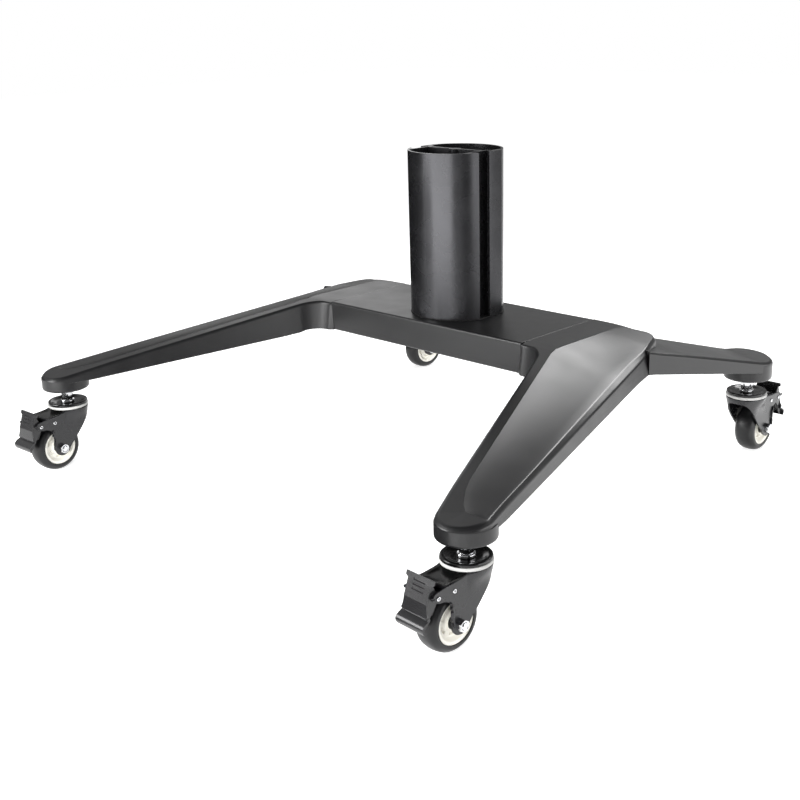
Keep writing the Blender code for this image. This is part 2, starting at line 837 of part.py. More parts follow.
PAINT = material("black powder coat", (0.035, 0.035, 0.037), 0.42, 0.0)
ANODISED = material("black anodised aluminium", (0.045, 0.045, 0.048), 0.35, 0.6)
GASKET = material("dark gasket", (0.012, 0.012, 0.012), 0.7, 0.0)
CHROME = material("bright chrome", (0.75, 0.75, 0.76), 0.12, 1.0)
DISC = material("black enamelled disc", (0.02, 0.02, 0.021), 0.25, 0.0)
RING = material("grey dust ring", (0.5, 0.5, 0.51), 0.45, 0.0)
STEEL = material("bearing steel", (0.6, 0.6, 0.61), 0.25, 1.0)
FORK = material("charcoal fork paint", (0.06, 0.06, 0.062), 0.4, 0.0)
TYRE = material("black polyurethane tread", (0.03, 0.03, 0.031), 0.5, 0.0)
HUB = material("cream nylon hub", (0.78, 0.76, 0.7), 0.4, 0.0)
PEDAL = material("dark pressed pedal", (0.09, 0.09, 0.092), 0.35, 0.0)
SHOE = material("black brake shoe", (0.03, 0.03, 0.03), 0.6, 0.0)

AXIS_Y = column_offset()
frame_root = pivot("frame_root", (0.0, AXIS_Y, 0.0))

leg = leg_mesh()
place("leg_right", leg, PAINT, frame_root)
place("leg_left", mirrored(leg), PAINT, frame_root)
place("crossbar", crossbar_mesh(), PAINT, frame_root)
foot = BAR_TOP + CLEARANCE
place("column_gasket", prism(gasket_outlines(), foot, foot + GASKET_THICKNESS), GASKET, frame_root)
foot += GASKET_THICKNESS + CLEARANCE
place("column", prism(column_outlines(), foot, BAR_TOP + COLUMN_HEIGHT), ANODISED, frame_root)
place(
    "column_bolt",
    bolt_mesh(45.0),
    STEEL,
    frame_root,
    (0.0, 0.0, BAR_TOP - BAR_WALL - CLEARANCE),
)
leg_bolt = bolt_mesh(30.0)
for name, side in (("left", -1.0), ("right", 1.0)):
    place(
        f"leg_bolt_{name}",
        leg_bolt,
        STEEL,
        frame_root,
        (side * (BAR_HALF_LENGTH - LEG_BOLT_INSET), 0.0, BAR_TOP - BAR_HEIGHT - CLEARANCE),
    )

fixed = {
    "threaded_stem": (stem_mesh(), CHROME),
    "top_disc": (disc_mesh(), DISC),
    "dust_ring": (ring_mesh(), RING),
    "ball_race": (race_mesh(), STEEL),
}
rivet = rivet_mesh()
swivelling = {
    "fork": (fork_mesh(), FORK, (0.0, 0.0, 0.0)),
    "axle_bolt": (axle_bolt_mesh(), CHROME, (TRAIL, 0.0, AXLE_HEIGHT)),
    "axle_nut": (axle_nut_mesh(), CHROME, (TRAIL, 0.0, AXLE_HEIGHT)),
    "pedal_rivet": (rivet, CHROME, (PIVOT[0], 0.0, PIVOT[1])),
    "fork_rivet": (rivet, CHROME, (TIE_RIVET[0], 0.0, TIE_RIVET[1])),
}
rolling = {"tyre": (tyre_mesh(), TYRE), "wheel_hub": (wheel_hub_mesh(), HUB)}
braking = {"brake_pedal": (pedal_mesh(), PEDAL), "brake_shoe": (shoe_mesh(), SHOE)}

for where, (x, y, trail) in CASTERS.items():
    stem_axis = pivot(f"stem_axis_{where}", (x, y, 0.0), frame_root)
    swivel_axis = pivot(f"swivel_axis_{where}", (x, y, 0.0), frame_root, trail)
    axle_axis = pivot(f"axle_axis_{where}", (TRAIL, 0.0, AXLE_HEIGHT), swivel_axis)
    pedal_axis = pivot(f"pedal_axis_{where}", (PIVOT[0], 0.0, PIVOT[1]), swivel_axis)
    for name, (mesh, look) in fixed.items():
        place(f"{name}_{where}", mesh, look, stem_axis)
    for name, (mesh, look, spot) in swivelling.items():
        place(f"{name}_{where}", mesh, look, swivel_axis, spot)
    for name, (mesh, look) in rolling.items():
        place(f"{name}_{where}", mesh, look, axle_axis)
    for name, (mesh, look) in braking.items():
        place(f"{name}_{where}", mesh, look, pedal_axis)
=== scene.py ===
"""Looks of the television cart's rolling base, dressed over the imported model.

The frame gives every node and body. Each class below holds one sub-assembly: its sizes in
millimetres as fields, and the methods that work out its surfaces and give them their finishes.
Plan points are measured from the column's own axis and heights from the floor.
"""

import logging
import math
from collections.abc import Callable
from dataclasses import dataclass
from enum import Enum

import bmesh
import bpy
import numpy as np
from mathutils import Matrix, Vector
from mathutils.geometry import tessellate_polygon

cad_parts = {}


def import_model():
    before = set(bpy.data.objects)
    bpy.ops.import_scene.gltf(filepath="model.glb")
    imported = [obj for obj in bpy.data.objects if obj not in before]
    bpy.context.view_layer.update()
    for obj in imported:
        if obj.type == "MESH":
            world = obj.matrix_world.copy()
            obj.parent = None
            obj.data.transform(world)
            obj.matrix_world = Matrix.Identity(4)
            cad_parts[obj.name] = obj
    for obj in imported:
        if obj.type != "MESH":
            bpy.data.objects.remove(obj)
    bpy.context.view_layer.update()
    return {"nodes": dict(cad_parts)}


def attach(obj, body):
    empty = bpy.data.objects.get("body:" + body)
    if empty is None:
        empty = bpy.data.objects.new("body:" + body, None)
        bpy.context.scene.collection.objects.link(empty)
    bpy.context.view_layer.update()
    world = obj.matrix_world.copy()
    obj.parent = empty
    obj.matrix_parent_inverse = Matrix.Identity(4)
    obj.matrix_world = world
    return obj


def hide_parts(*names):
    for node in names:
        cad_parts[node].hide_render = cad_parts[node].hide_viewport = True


LOG = logging.getLogger("tv_cart")
MM = 0.001
Array = np.ndarray

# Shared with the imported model
BAR_TOP = 221.3
BAR_HEIGHT = 45.2
BAR_HALF_LENGTH = 192.8
BAR_HALF_DEPTH = 84.1
SEAM_GAP = 0.3
COLUMN_AXIS_Y = 93.59
FRONT_STEM = (410.4, -443.2)
REAR_STEM = (352.6, 255.5)

# Broad mottle of every surface, and how far the extrusion's fine pattern is drawn out upwards
MOTTLE_CELL = 38.0
DRAWN_STRETCH = 0.012
# A hexagon bar's flats, and the faces that make up each
FLATS = 6
FLAT_STEPS = 12


class Corner(Enum):
    """Where a caster stands, with the end of its nodes' names."""

    FRONT_LEFT = "front_left"
    FRONT_RIGHT = "front_right"
    REAR_LEFT = "rear_left"
    REAR_RIGHT = "rear_right"


class Grain(Enum):
    """How a surface was made, which settles the pattern of its bump and gloss."""

    PEEL = "sprayed, cured powder with a slight orange peel"
    DRAWN = "fine lines along the vertical extrusion"
    PLATED = "bright plating with faint wipe marks"
    MOULDED = "moulded plastic with a soft mottle"
    SMOOTH = "dipped enamel, nearly level"


def linear(code: str) -> tuple[float, float, float, float]:
    """Turns an sRGB hex colour into linear light.

    Args:
        code: Six hex digits after a hash sign.

    Returns:
        Red, green, blue and an alpha of one.
    """
    values = [int(code[at : at + 2], 16) / 255.0 for at in (1, 3, 5)]
    light = [v / 12.92 if v <= 0.04045 else ((v + 0.055) / 1.055) ** 2.4 for v in values]
    return (light[0], light[1], light[2], 1.0)


def per_mm(size: float) -> float:
    """The texture scale at which one cell of a pattern is this many millimetres."""
    return 1.0 / (size * MM)


def add_node(
    tree: bpy.types.NodeTree, kind: str, inputs: dict | None = None, **settings: object
) -> bpy.types.Node:
    """Adds a node with its settings, its fixed values and its links.

    Args:
        tree: The node tree that gets the node.
        kind: Blender's name for the node.
        inputs: Socket name or number to a value, or to the output socket that feeds it.
        **settings: Properties of the node itself.

    Returns:
        The new node.
    """
    node = tree.nodes.new(kind)
    for name, value in settings.items():
        setattr(node, name, value)
    for key, value in (inputs or {}).items():
        if isinstance(value, bpy.types.NodeSocket):
            tree.links.new(value, node.inputs[key])
        else:
            node.inputs[key].default_value = value
    return node


def cleared_tree(owner: bpy.types.Material | bpy.types.World) -> bpy.types.NodeTree:
    """Turns on the owner's nodes, removes them all and gives the empty tree."""
    owner.use_nodes = True
    owner.node_tree.nodes.clear()
    return owner.node_tree


@dataclass(frozen=True)
class Finish:
    """One real material and how its surface was made."""

    name: str
    colour: str
    mottle: str
    grain: Grain
    roughness: float
    spread: float = 0.06
    metallic: float = 0.0
    ior: float = 1.5
    coat: float = 0.0
    coat_roughness: float = 0.1
    cell: float = 3.0
    depth: float = 0.02

    def pattern(self, tree: bpy.types.NodeTree) -> tuple[bpy.types.NodeSocket, bpy.types.NodeSocket]:
        """Lays the fine and the broad pattern of this surface.

        Args:
            tree: The material's node tree.

        Returns:
            The fine pattern, for the bump, and the broad one, for colour and gloss.
        """
        place = add_node(tree, "ShaderNodeTexCoord").outputs["Object"]
        stretch = (1.0, 1.0, DRAWN_STRETCH) if self.grain is Grain.DRAWN else (1.0, 1.0, 1.0)
        mapped = add_node(
            tree, "ShaderNodeMapping", {"Vector": place, "Scale": stretch}
        ).outputs["Vector"]
        fine = add_node(
            tree,
            "ShaderNodeTexNoise",
            {
                "Vector": mapped,
                "Scale": per_mm(self.cell),
                "Detail": 3.0 if self.grain in (Grain.DRAWN, Grain.PLATED) else 1.0,
                "Roughness": 0.55,
            },
        ).outputs["Fac"]
        broad = add_node(
            tree,
            "ShaderNodeTexNoise",
            {"Vector": place, "Scale": per_mm(MOTTLE_CELL), "Detail": 4.0, "Roughness": 0.5},
        ).outputs["Fac"]
        return fine, broad

    def material(self) -> bpy.types.Material:
        """Builds the material once, and gives the same one after that."""
        made = bpy.data.materials.get(self.name)
        if made is not None:
            return made
        made = bpy.data.materials.new(self.name)
        tree = cleared_tree(made)
        fine, broad = self.pattern(tree)
        tint = add_node(
            tree,
            "ShaderNodeMix",
            {"Factor": broad, 6: linear(self.colour), 7: linear(self.mottle)},
            data_type="RGBA",
        )
        gloss = add_node(
            tree,
            "ShaderNodeMapRange",
            {
                "Value": broad,
                "From Min": 0.3,
                "From Max": 0.7,
                "To Min": self.roughness - self.spread,
                "To Max": self.roughness + self.spread,
            },
        )
        bump = add_node(
            tree,
            "ShaderNodeBump",
            {"Strength": 0.6, "Distance": self.depth * MM, "Height": fine},
        )
        shader = add_node(
            tree,
            "ShaderNodeBsdfPrincipled",
            {
                "Base Color": tint.outputs[2],
                "Metallic": self.metallic,
                "Roughness": gloss.outputs["Result"],
                "IOR": self.ior,
                "Coat Weight": self.coat,
                "Coat Roughness": self.coat_roughness,
                "Normal": bump.outputs["Normal"],
            },
        )
        add_node(tree, "ShaderNodeOutputMaterial", {"Surface": shader.outputs["BSDF"]})
        return made


# Polyester powder coat, sprayed and baked: a satin black skin with a faint orange peel.
POWDER_COAT = Finish(
    "satin black powder coat", "#0f0f10", "#151516", Grain.PEEL, 0.33, 0.03, cell=2.6, depth=0.012
)
# Black anodised aluminium extrusion: dark, metallic under the dye, with fine vertical lines.
ANODISED = Finish(
    "black anodised aluminium", "#2c2c2e", "#38383a", Grain.DRAWN, 0.27, 0.03,
    metallic=0.75, cell=1.1, depth=0.006,
)
# Moulded foam rubber under the column's foot: dull and nearly black.
RUBBER = Finish("black foam rubber", "#0b0b0b", "#151515", Grain.MOULDED, 0.75, 0.05, cell=1.2, depth=0.03)
# Zinc and chrome plated steel: bright, with faint wipe marks that break the reflections.
PLATING = Finish(
    "bright plated steel", "#c9cacc", "#dfe0e2", Grain.PLATED, 0.16, 0.06, metallic=1.0, cell=1.6, depth=0.008
)
# Dipped black enamel on a pressed disc: a deep gloss that shows the lamps.
ENAMEL = Finish("black dipped enamel", "#040404", "#080808", Grain.SMOOTH, 0.18, 0.03, cell=4.0, depth=0.008)
# Moulded grey acetal dust ring: soft sheen, slightly uneven.
ACETAL = Finish("grey moulded acetal", "#b0b0ae", "#bebebc", Grain.MOULDED, 0.38, 0.05, cell=2.0, depth=0.01)
# Electrocoated steel pressing: charcoal, satin, with the grain of the sheet under it.
ELECTROCOAT = Finish(
    "charcoal electrocoated steel", "#18181a", "#1e1e20", Grain.PEEL, 0.28, 0.05, cell=2.0, depth=0.012
)
# Cast polyurethane tread: dark, waxy, a little scuffed.
POLYURETHANE = Finish(
    "black cast polyurethane", "#0b0b0c", "#121213", Grain.MOULDED, 0.34, 0.05, ior=1.45, cell=1.8, depth=0.02
)
# Injection moulded nylon hub: cream, with a soft milky mottle.
NYLON = Finish("cream moulded nylon", "#f3f0e6", "#f8f6ee", Grain.MOULDED, 0.34, 0.06, cell=2.4, depth=0.01)
# Turned steel bush in the middle of the hub, blackened.
BUSH = Finish(
    "blackened steel bush", "#1d1d1e", "#2a2a2b", Grain.PLATED, 0.34, 0.05,
    metallic=0.6, cell=1.2, depth=0.006,
)
# Pressed steel pedal under black enamel: glossier than the fork.
PEDAL_ENAMEL = Finish(
    "black enamelled pressing", "#262627", "#161617", Grain.PEEL, 0.24, 0.04, cell=2.4, depth=0.01
)
# The fork's web, the same pressed sheet as the cheeks, in a darker and glossier copy of their charcoal paint:
# its darkness is painted shade.
SHADED_WEB_PAINT = Finish(
    "fork web paint darkened as painted shade", "#080808", "#0e0e0e", Grain.SMOOTH, 0.2, 0.03, cell=4.0, depth=0.008
)
# Moulded rubber brake pad.
PAD_RUBBER = Finish("black moulded pad", "#111111", "#1a1a1a", Grain.MOULDED, 0.6, 0.06, cell=1.2, depth=0.02)
# Ground bearing steel.
BEARING = Finish(
    "ground bearing steel", "#a9abae", "#bcbec0", Grain.PLATED, 0.22, 0.05,
    metallic=1.0, cell=1.0, depth=0.004,
)


class Surface:
    """Vertices and faces gathered from several grids into one mesh."""

    def __init__(self) -> None:
        """Starts with nothing in it."""
        self.points: list[Array] = []
        self.faces: list[list[tuple]] = []
        self.slots: list[int] = []
        self.count = 0

    def grid(self, points: Array, around: bool = False, along: bool = False, slot: int = 0) -> None:
        """Adds a grid of points as quads.

        Args:
            points: Rows, columns and three coordinates, in millimetres.
            around: Whether the last column joins the first.
            along: Whether the last row joins the first.
            slot: The material slot of its faces.
        """
        rows, columns = points.shape[:2]
        index = np.arange(rows * columns).reshape(rows, columns) + self.count
        if along:
            index = np.vstack([index, index[:1]])
        if around:
            index = np.hstack([index, index[:, :1]])
        quads = np.stack([index[:-1, :-1], index[:-1, 1:], index[1:, 1:], index[1:, :-1]], axis=-1)
        self.add(points.reshape(-1, 3), quads.reshape(-1, 4), slot)

    def cap(self, ring: Array, slot: int = 0) -> None:
        """Adds one flat face through a ring of points."""
        self.add(ring, np.arange(len(ring))[None] + self.count, slot)

    def add(self, points: Array, faces: Array, slot: int) -> None:
        """Adds points and faces.

        Args:
            points: The new points, in millimetres.
            faces: Their faces, whose numbers already count from this surface's first point.
            slot: The material slot of the faces.
        """
        self.points.append(points)
        self.faces.append([tuple(face) for face in faces.tolist()])
        self.slots.extend([slot] * len(faces))
        self.count += len(points)

    def mesh(self, name: str, flip_x: bool = False) -> bpy.types.Mesh:
        """Welds everything into one mesh.

        Args:
            name: The mesh's name.
            flip_x: Whether the left-hand copy is wanted.

        Returns:
            The mesh, in metres.
        """
        points = np.concatenate(self.points) * MM
        if flip_x:
            points = points * np.array([-1.0, 1.0, 1.0])
        unique, back = np.unique(np.round(points, 6), axis=0, return_inverse=True)
        back = back.reshape(-1)
        faces = [face for group in self.faces for face in group]
        whole = [tuple(dict.fromkeys(back[list(face)].tolist())) for face in faces]
        kept = [(face, slot) for face, slot in zip(whole, self.slots) if len(face) > 2]
        made = bpy.data.meshes.new(name)
        made.from_pydata(unique.tolist(), [], [face for face, _ in kept])
        made.polygons.foreach_set("material_index", np.array([slot for _, slot in kept], dtype=np.int32))
        made.update()
        return made


def softened(section: Array, setbacks: Array, steps: int = 5) -> Array:
    """Rounds the inner corners of many open sections at once.

    Each corner becomes a quadratic curve from one setback before it to one after it, with the
    corner as its control point, and a support point just outside each end of the curve.

    Args:
        section: Rows of corners, rows by corners by three.
        setbacks: Distance from each corner to where its curve starts, rows by corners.
        steps: How many edges each curve has.

    Returns:
        Rows of points, with more columns.
    """
    columns = [section[:, :1]]
    share = np.linspace(0.0, 1.0, steps + 1)[None, :, None]
    for at in range(1, section.shape[1] - 1):
        here = section[:, at : at + 1]
        before = section[:, at - 1 : at] - here
        after = section[:, at + 1 : at + 2] - here
        long_before = np.maximum(np.linalg.norm(before, axis=2, keepdims=True), 1e-6)
        long_after = np.maximum(np.linalg.norm(after, axis=2, keepdims=True), 1e-6)
        back = setbacks[:, at, None, None]
        cut_before = np.minimum(back, 0.44 * long_before)
        cut_after = np.minimum(back, 0.44 * long_after)
        start = here + before / long_before * cut_before
        end = here + after / long_after * cut_after
        curve = (1 - share) ** 2 * start + 2 * share * (1 - share) * here + share**2 * end
        near = here + before / long_before * np.minimum(cut_before + 0.7, 0.48 * long_before)
        far = here + after / long_after * np.minimum(cut_after + 0.7, 0.48 * long_after)
        columns.extend([near, curve, far])
    columns.append(section[:, -1:])
    return np.concatenate(columns, axis=1)


def line(start: tuple, end: tuple, rows: int) -> Array:
    """Plan points from start towards end, in equal steps, the end left out."""
    share = np.linspace(0.0, 1.0, rows, endpoint=False)[:, None]
    return np.array(start) * (1 - share) + np.array(end) * share


def bow(centre: tuple, radius: float, first: float, last: float, rows: int) -> Array:
    """Plan points on a circle between two angles in degrees, the last left out."""
    angle = np.radians(np.linspace(first, last, rows, endpoint=False))
    return np.array(centre) + radius * np.stack([np.cos(angle), np.sin(angle)], axis=1)


def turned(profile: Array, steps: int, centre: tuple = (0.0, 0.0, 0.0), axis: str = "Z") -> Array:
    """Carries a profile of radius and height round an axis.

    Args:
        profile: Points of radius and height, one row each.
        steps: How many faces go round.
        centre: Where the axis passes.
        axis: "Z" or "Y".

    Returns:
        A grid, steps by profile points by three, whose rows close on themselves.
    """
    angle = np.linspace(0.0, 2 * np.pi, steps, endpoint=False)[:, None]
    radius, height = profile[None, :, 0], profile[None, :, 1]
    across, up = radius * np.cos(angle), radius * np.sin(angle)
    level = np.broadcast_to(height, across.shape)
    if axis == "Z":
        found = np.stack([across, up, level], axis=2)
    else:
        found = np.stack([up, level, across], axis=2)
    return found + np.array(centre)


def eased(profile: list[tuple], setback: float | list[float], steps: int = 4) -> Array:
    """A flat profile of two coordinates with its inner corners rounded.

    Args:
        profile: The corners.
        setback: One distance for all the corners, or one for each.
        steps: Edges in each rounding.

    Returns:
        The rounded profile, one point a row.
    """
    corners = np.array(profile, dtype=float)
    flat = np.column_stack([corners, np.zeros(len(corners))])[None]
    back = np.broadcast_to(np.array(setback, dtype=float), (len(corners),))[None]
    return softened(flat, back, steps)[0, :, :2]


def piece(
    name: str,
    surface: Surface,
    finish: Finish,
    body: str,
    replaced: tuple[str, ...] = (),
    flip_x: bool = False,
    smooth: float = 35.0,
    sheet: float = 0.0,
    edge: float = 0.0,
    second: Finish | None = None,
) -> bpy.types.Object:
    """Makes one finished object that rides on a body.

    Args:
        name: The object's name.
        surface: Its surface.
        finish: What it is made of.
        body: The CAD body that carries it.
        replaced: The CAD nodes that it stands for.
        flip_x: Whether it is the left-hand copy.
        smooth: Edges flatter than this many degrees are shaded round.
        sheet: Thickness of the metal that the surface is the outside of, or none.
        edge: Rounding of the sheet's cut edges.
        second: The finish of the second material slot.

    Returns:
        The object.
    """
    mesh = surface.mesh(name, flip_x)
    if not sheet:
        work = bmesh.new()
        work.from_mesh(mesh)
        bmesh.ops.recalc_face_normals(work, faces=work.faces)
        work.to_mesh(mesh)
        work.free()
    mesh.shade_smooth()
    mesh.set_sharp_from_angle(angle=math.radians(smooth))
    made = bpy.data.objects.new(name, mesh)
    bpy.context.scene.collection.objects.link(made)
    mesh.materials.append(finish.material())
    if second is not None:
        mesh.materials.append(second.material())
    if sheet:
        thick = made.modifiers.new("sheet", "SOLIDIFY")
        thick.thickness = sheet * MM
        thick.offset = -1.0
    if edge:
        rim = made.modifiers.new("cut edges", "BEVEL")
        rim.width = edge * MM
        rim.segments = 2
        rim.limit_method = "ANGLE"
        rim.angle_limit = math.radians(40.0)
        rim.harden_normals = True
    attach(made, body)
    if replaced:
        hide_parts(*replaced)
    LOG.info("%s: %d faces, %s", name, len(mesh.polygons), finish.name)
    return made


@dataclass
class Leg:
    """One cast leg: long front arm, lower rear arm and the two round bosses.

    Its outside is one sheet that follows the leg's plan outline, row by row, with a section
    that rises up the wall, over the rounded edge and across the top to the leg's ridge line.
    """

    axis_y: float
    front_stem: tuple[float, float] = FRONT_STEM
    rear_stem: tuple[float, float] = REAR_STEM
    tip_radius: float = 34.5
    boss_radius: float = 35.0
    boss_bottom: float = -98.0
    hub_corner: tuple[float, float] = (331.0, 22.0)
    inner_start: float = 230.8
    inner_ease: float = 1.4
    wall_run: float = 0.4011
    wall_lean: float = 0.176
    fillet: float = 46.0
    rear_fillet: float = 30.0
    ridge_x: float = 248.0
    ridge_front: float = -425.0
    ridge_back: float = 66.0
    wall: float = 7.0
    hollow: float = 2.0

    def strip(self, y: Array) -> Array:
        """Height of the level strip beside the ridge: level, then falling towards the tip."""
        return np.minimum(0.0, 0.187 * (y + 75.0)) - 1.6 * np.clip((-y - 400.0) / 60.0, 0.0, 1.0)

    def shoulder(self, y: Array) -> Array:
        """Height of the outer top edge."""
        return np.minimum(-15.4 + 0.1257 * y, -12.4 + 0.055 * y)

    def ridge(self, y: Array) -> Array:
        """Plan place of the ridge between the strip and the long outer slope."""
        return np.maximum(self.ridge_x, self.inner_start + (-BAR_HALF_DEPTH - y) * self.wall_run + 17.0)

    def crest(self, y: Array) -> Array:
        """Plan place of the front arm's outer top edge."""
        return 322.9 - 0.268 * y

    def front_top(self, plan: Array) -> Array:
        """Height of the front arm's top: the strip, and a straight fall from the ridge to the edge."""
        x, y = plan[:, 0], plan[:, 1]
        ridge, edge = self.ridge(y), self.crest(y)
        share = np.clip((x - ridge) / (edge - ridge), 0.0, 1.2)
        return self.strip(y) + (self.shoulder(y) - self.strip(y)) * share

    def rear_top(self, plan: Array) -> Array:
        """Height of the rear arm's top: a straight fall across it, from the inner to the outer edge."""
        x, y = plan[:, 0], plan[:, 1]
        inside = np.maximum(np.minimum(-9.0, -10.0 - 0.291 * (y - 94.0)), -32.4 - 0.093 * y)
        outside = np.maximum(-12.3 - 0.2554 * (y - 22.0), -46.7 - 0.09 * y)
        low, high = 205.0 + 0.363 * (y - 40.0), 336.0 + 0.2455 * (y - 22.0)
        return inside + (outside - inside) * (x - low) / (high - low)

    def touch(self, point: tuple, centre: tuple, side: float) -> Array:
        """Where a line from the point touches the tip's circle.

        Args:
            point: Where the line starts.
            centre: The circle's centre.
            side: One or minus one, for the side that the line passes on.

        Returns:
            The plan point.
        """
        away = np.array(centre) - np.array(point)
        span = np.hypot(*away)
        angle = math.asin(self.tip_radius / span) * side
        along = math.sqrt(span**2 - self.tip_radius**2)
        unit = away / span
        cosine, sine = math.cos(angle), math.sin(angle)
        turned_by = np.array([unit[0] * cosine - unit[1] * sine, unit[0] * sine + unit[1] * cosine])
        return np.array(point) + turned_by * along

    def fillet_rows(self, corner: tuple, before: tuple, after: Array, radius: float, rows: int) -> Array:
        """Plan points on the arc that rounds a corner between two directions that leave it.

        Args:
            corner: The corner.
            before: The direction from it towards the line that leads in.
            after: The direction from it along the line that leads out.
            radius: The arc's radius.
            rows: How many points.

        Returns:
            The points, the arc's end left out.
        """
        first = np.array(before) / np.hypot(*before)
        second = after / np.hypot(*after)
        half = math.acos(float(first @ second)) / 2
        middle = np.array(corner) + (first + second) / np.hypot(*(first + second)) * radius / math.sin(half)
        start = np.array(corner) + first * radius / math.tan(half) - middle
        end = np.array(corner) + second * radius / math.tan(half) - middle
        one, two = math.atan2(start[1], start[0]), math.atan2(end[1], end[0])
        if two - one > math.pi:
            two -= 2 * math.pi
        if one - two > math.pi:
            two += 2 * math.pi
        return bow(tuple(middle), radius, math.degrees(one), math.degrees(two), rows)

    def setback(self, along: Array, radius: float) -> Array:
        """How far along a line from a corner with the crossbar's side its rounding ends."""
        span = np.hypot(*along)
        return along / span * (radius / math.tan(math.acos(-along[0] / span) / 2))

    def round_tip(self, start: Array, end: Array, centre: tuple, rows: int) -> Array:
        """Plan points the long way round a tip's circle, its end left out."""
        one = math.atan2(start[1] - centre[1], start[0] - centre[0])
        two = math.atan2(end[1] - centre[1], end[0] - centre[0])
        if two < one:
            two += 2 * math.pi
        return bow(centre, self.tip_radius, math.degrees(one), math.degrees(two), rows)

    def outward(self, plan: Array) -> Array:
        """Unit directions that point out of a closed outline, square to it."""
        ahead = np.roll(plan, -1, axis=0) - np.roll(plan, 1, axis=0)
        ahead /= np.maximum(np.linalg.norm(ahead, axis=1, keepdims=True), 1e-9)
        return np.stack([ahead[:, 1], -ahead[:, 0]], axis=1)

    def shell(
        self,
        plan: Array,
        ridge: Array,
        inset: Array,
        drop: Array,
        lean: Array,
        bottom: Array,
        top: Callable[[Array], Array],
        sharp: Array,
        pull: Array,
        dish: Array,
    ) -> Array:
        """Lays the section over every row of the outline.

        Args:
            plan: The wall's plan outline, a closed loop of rows.
            ridge: The ridge point that each row runs to.
            inset: How far inside the wall the top edge lies.
            drop: How far below the top edge the wall starts.
            lean: How far out the wall's foot stands.
            bottom: Height of the wall's foot.
            top: The height of the top at plan points.
            sharp: Setback of the rounding at the top edge.
            pull: How far inside the outline the wall's upper end lies.
            dish: How deep the top is hollowed between its edge and the ridge.

        Returns:
            A grid of rows round the outline by points over the section.
        """
        out = self.outward(plan)
        edge = plan - out * inset[:, None]
        foot = plan + out * lean[:, None]
        rim = foot - out * self.wall
        roof = edge - out * 5.0
        corners = [
            np.column_stack([ridge, top(ridge) - self.wall]),
            np.column_stack([roof, top(edge) - self.wall]),
            np.column_stack([rim, bottom]),
            np.column_stack([foot, bottom]),
            np.column_stack([plan - out * pull[:, None], top(edge) - drop]),
            np.column_stack([edge, top(edge)]),
            np.column_stack([ridge, top(ridge)]),
        ]
        section = np.stack(corners, axis=1)
        zero = np.zeros(len(plan))
        setbacks = np.stack([zero, zero + 4.0, zero + 1.2, zero + 1.4, drop * 0.42, sharp, zero], axis=1)
        section = softened(section, setbacks)
        share = np.linspace(0.0, 1.0, 8)[1:-1][None, :, None]
        between = section[:, -2:-1] * (1 - share) + section[:, -1:] * share
        between[..., 2] -= dish[:, None] * (4 * share * (1 - share))[..., 0]
        return np.concatenate([section[:, :-1], between, section[:, -1:]], axis=1)

    def front_rows(self) -> Array:
        """The front arm with the shoulder, as a grid."""
        outer = self.touch(self.hub_corner, self.front_stem, 1.0)
        start = (self.inner_start - self.inner_ease, -BAR_HALF_DEPTH)
        inner = self.touch(start, self.front_stem, -1.0)
        along = inner - np.array(start)
        seam = BAR_HALF_LENGTH + SEAM_GAP
        bend = self.fillet_rows(start, (-1.0, 0.0), along, self.fillet, 14)
        bend_end = start + self.setback(along, self.fillet)
        blade = bow((284.0, 69.0), 27.0, 20.0, 100.0, 12)
        groups = [
            (line((seam, BAR_HALF_DEPTH), (seam, -BAR_HALF_DEPTH), 16), "seam"),
            (line((seam, -BAR_HALF_DEPTH), tuple(bend[0]), 3), "bend"),
            (bend, "bend"),
            (line(tuple(bend_end), tuple(inner), 28), "inner"),
            (self.round_tip(inner, outer, self.front_stem, 36), "tip"),
            (line(tuple(outer), self.hub_corner, 32), "outer"),
            (line(self.hub_corner, tuple(blade[0]), 7), "blade"),
            (blade, "blade"),
            (line((279.3, 95.6), (262.0, 89.0), 3), "blade"),
            (line((262.0, 89.0), (246.0, BAR_HALF_DEPTH), 3), "blade"),
            (line((246.0, BAR_HALF_DEPTH), (seam, BAR_HALF_DEPTH), 6), "back"),
        ]
        plan = np.concatenate([g for g, _ in groups])
        kind = np.concatenate([[k] * len(g) for g, k in groups])
        y = plan[:, 1]
        reach = np.clip((y + BAR_HALF_DEPTH) / (self.front_stem[1] + BAR_HALF_DEPTH), 0.0, 1.0)
        ridge_y = np.clip(y, self.ridge_front, self.ridge_back)
        ridge = np.stack([self.ridge(ridge_y), ridge_y], axis=1)
        ridge[kind == "back"] = (self.ridge_x, self.ridge_back)
        near_tip = np.clip((-y - 395.0) / 48.0, 0.0, 1.0)
        near_tip[kind == "tip"] = 1.0
        near_tip = (near_tip**2 * (3 - 2 * near_tip))[:, None]
        ridge = ridge * (1 - near_tip) + np.array(self.front_stem) * near_tip
        inner_inset = 2.6 + 0.6 * reach
        wall_x = self.hub_corner[0] + (self.hub_corner[1] - y) * 0.2471
        outer_inset = np.clip(wall_x - self.crest(y), 6.5, 14.0) * 0.97
        inset = np.select(
            [kind == "seam", kind == "back", kind == "bend", kind == "inner", kind == "tip", kind == "outer"],
            [0.5 + 0 * y, 2.0 + 0 * y, 2.6 + 0 * y, inner_inset, 4.2 + 0 * y, outer_inset],
            9.0 + 0 * y,
        )
        drop = np.select(
            [kind == "seam", kind == "back", kind == "bend", kind == "inner", kind == "tip", kind == "outer"],
            [0.5 + 0 * y, 2.0 + 0 * y, 2.6 + 0 * y, inner_inset, 4.6 + 0 * y, 5.0 + 0 * y],
            5.0 + 0 * y,
        )
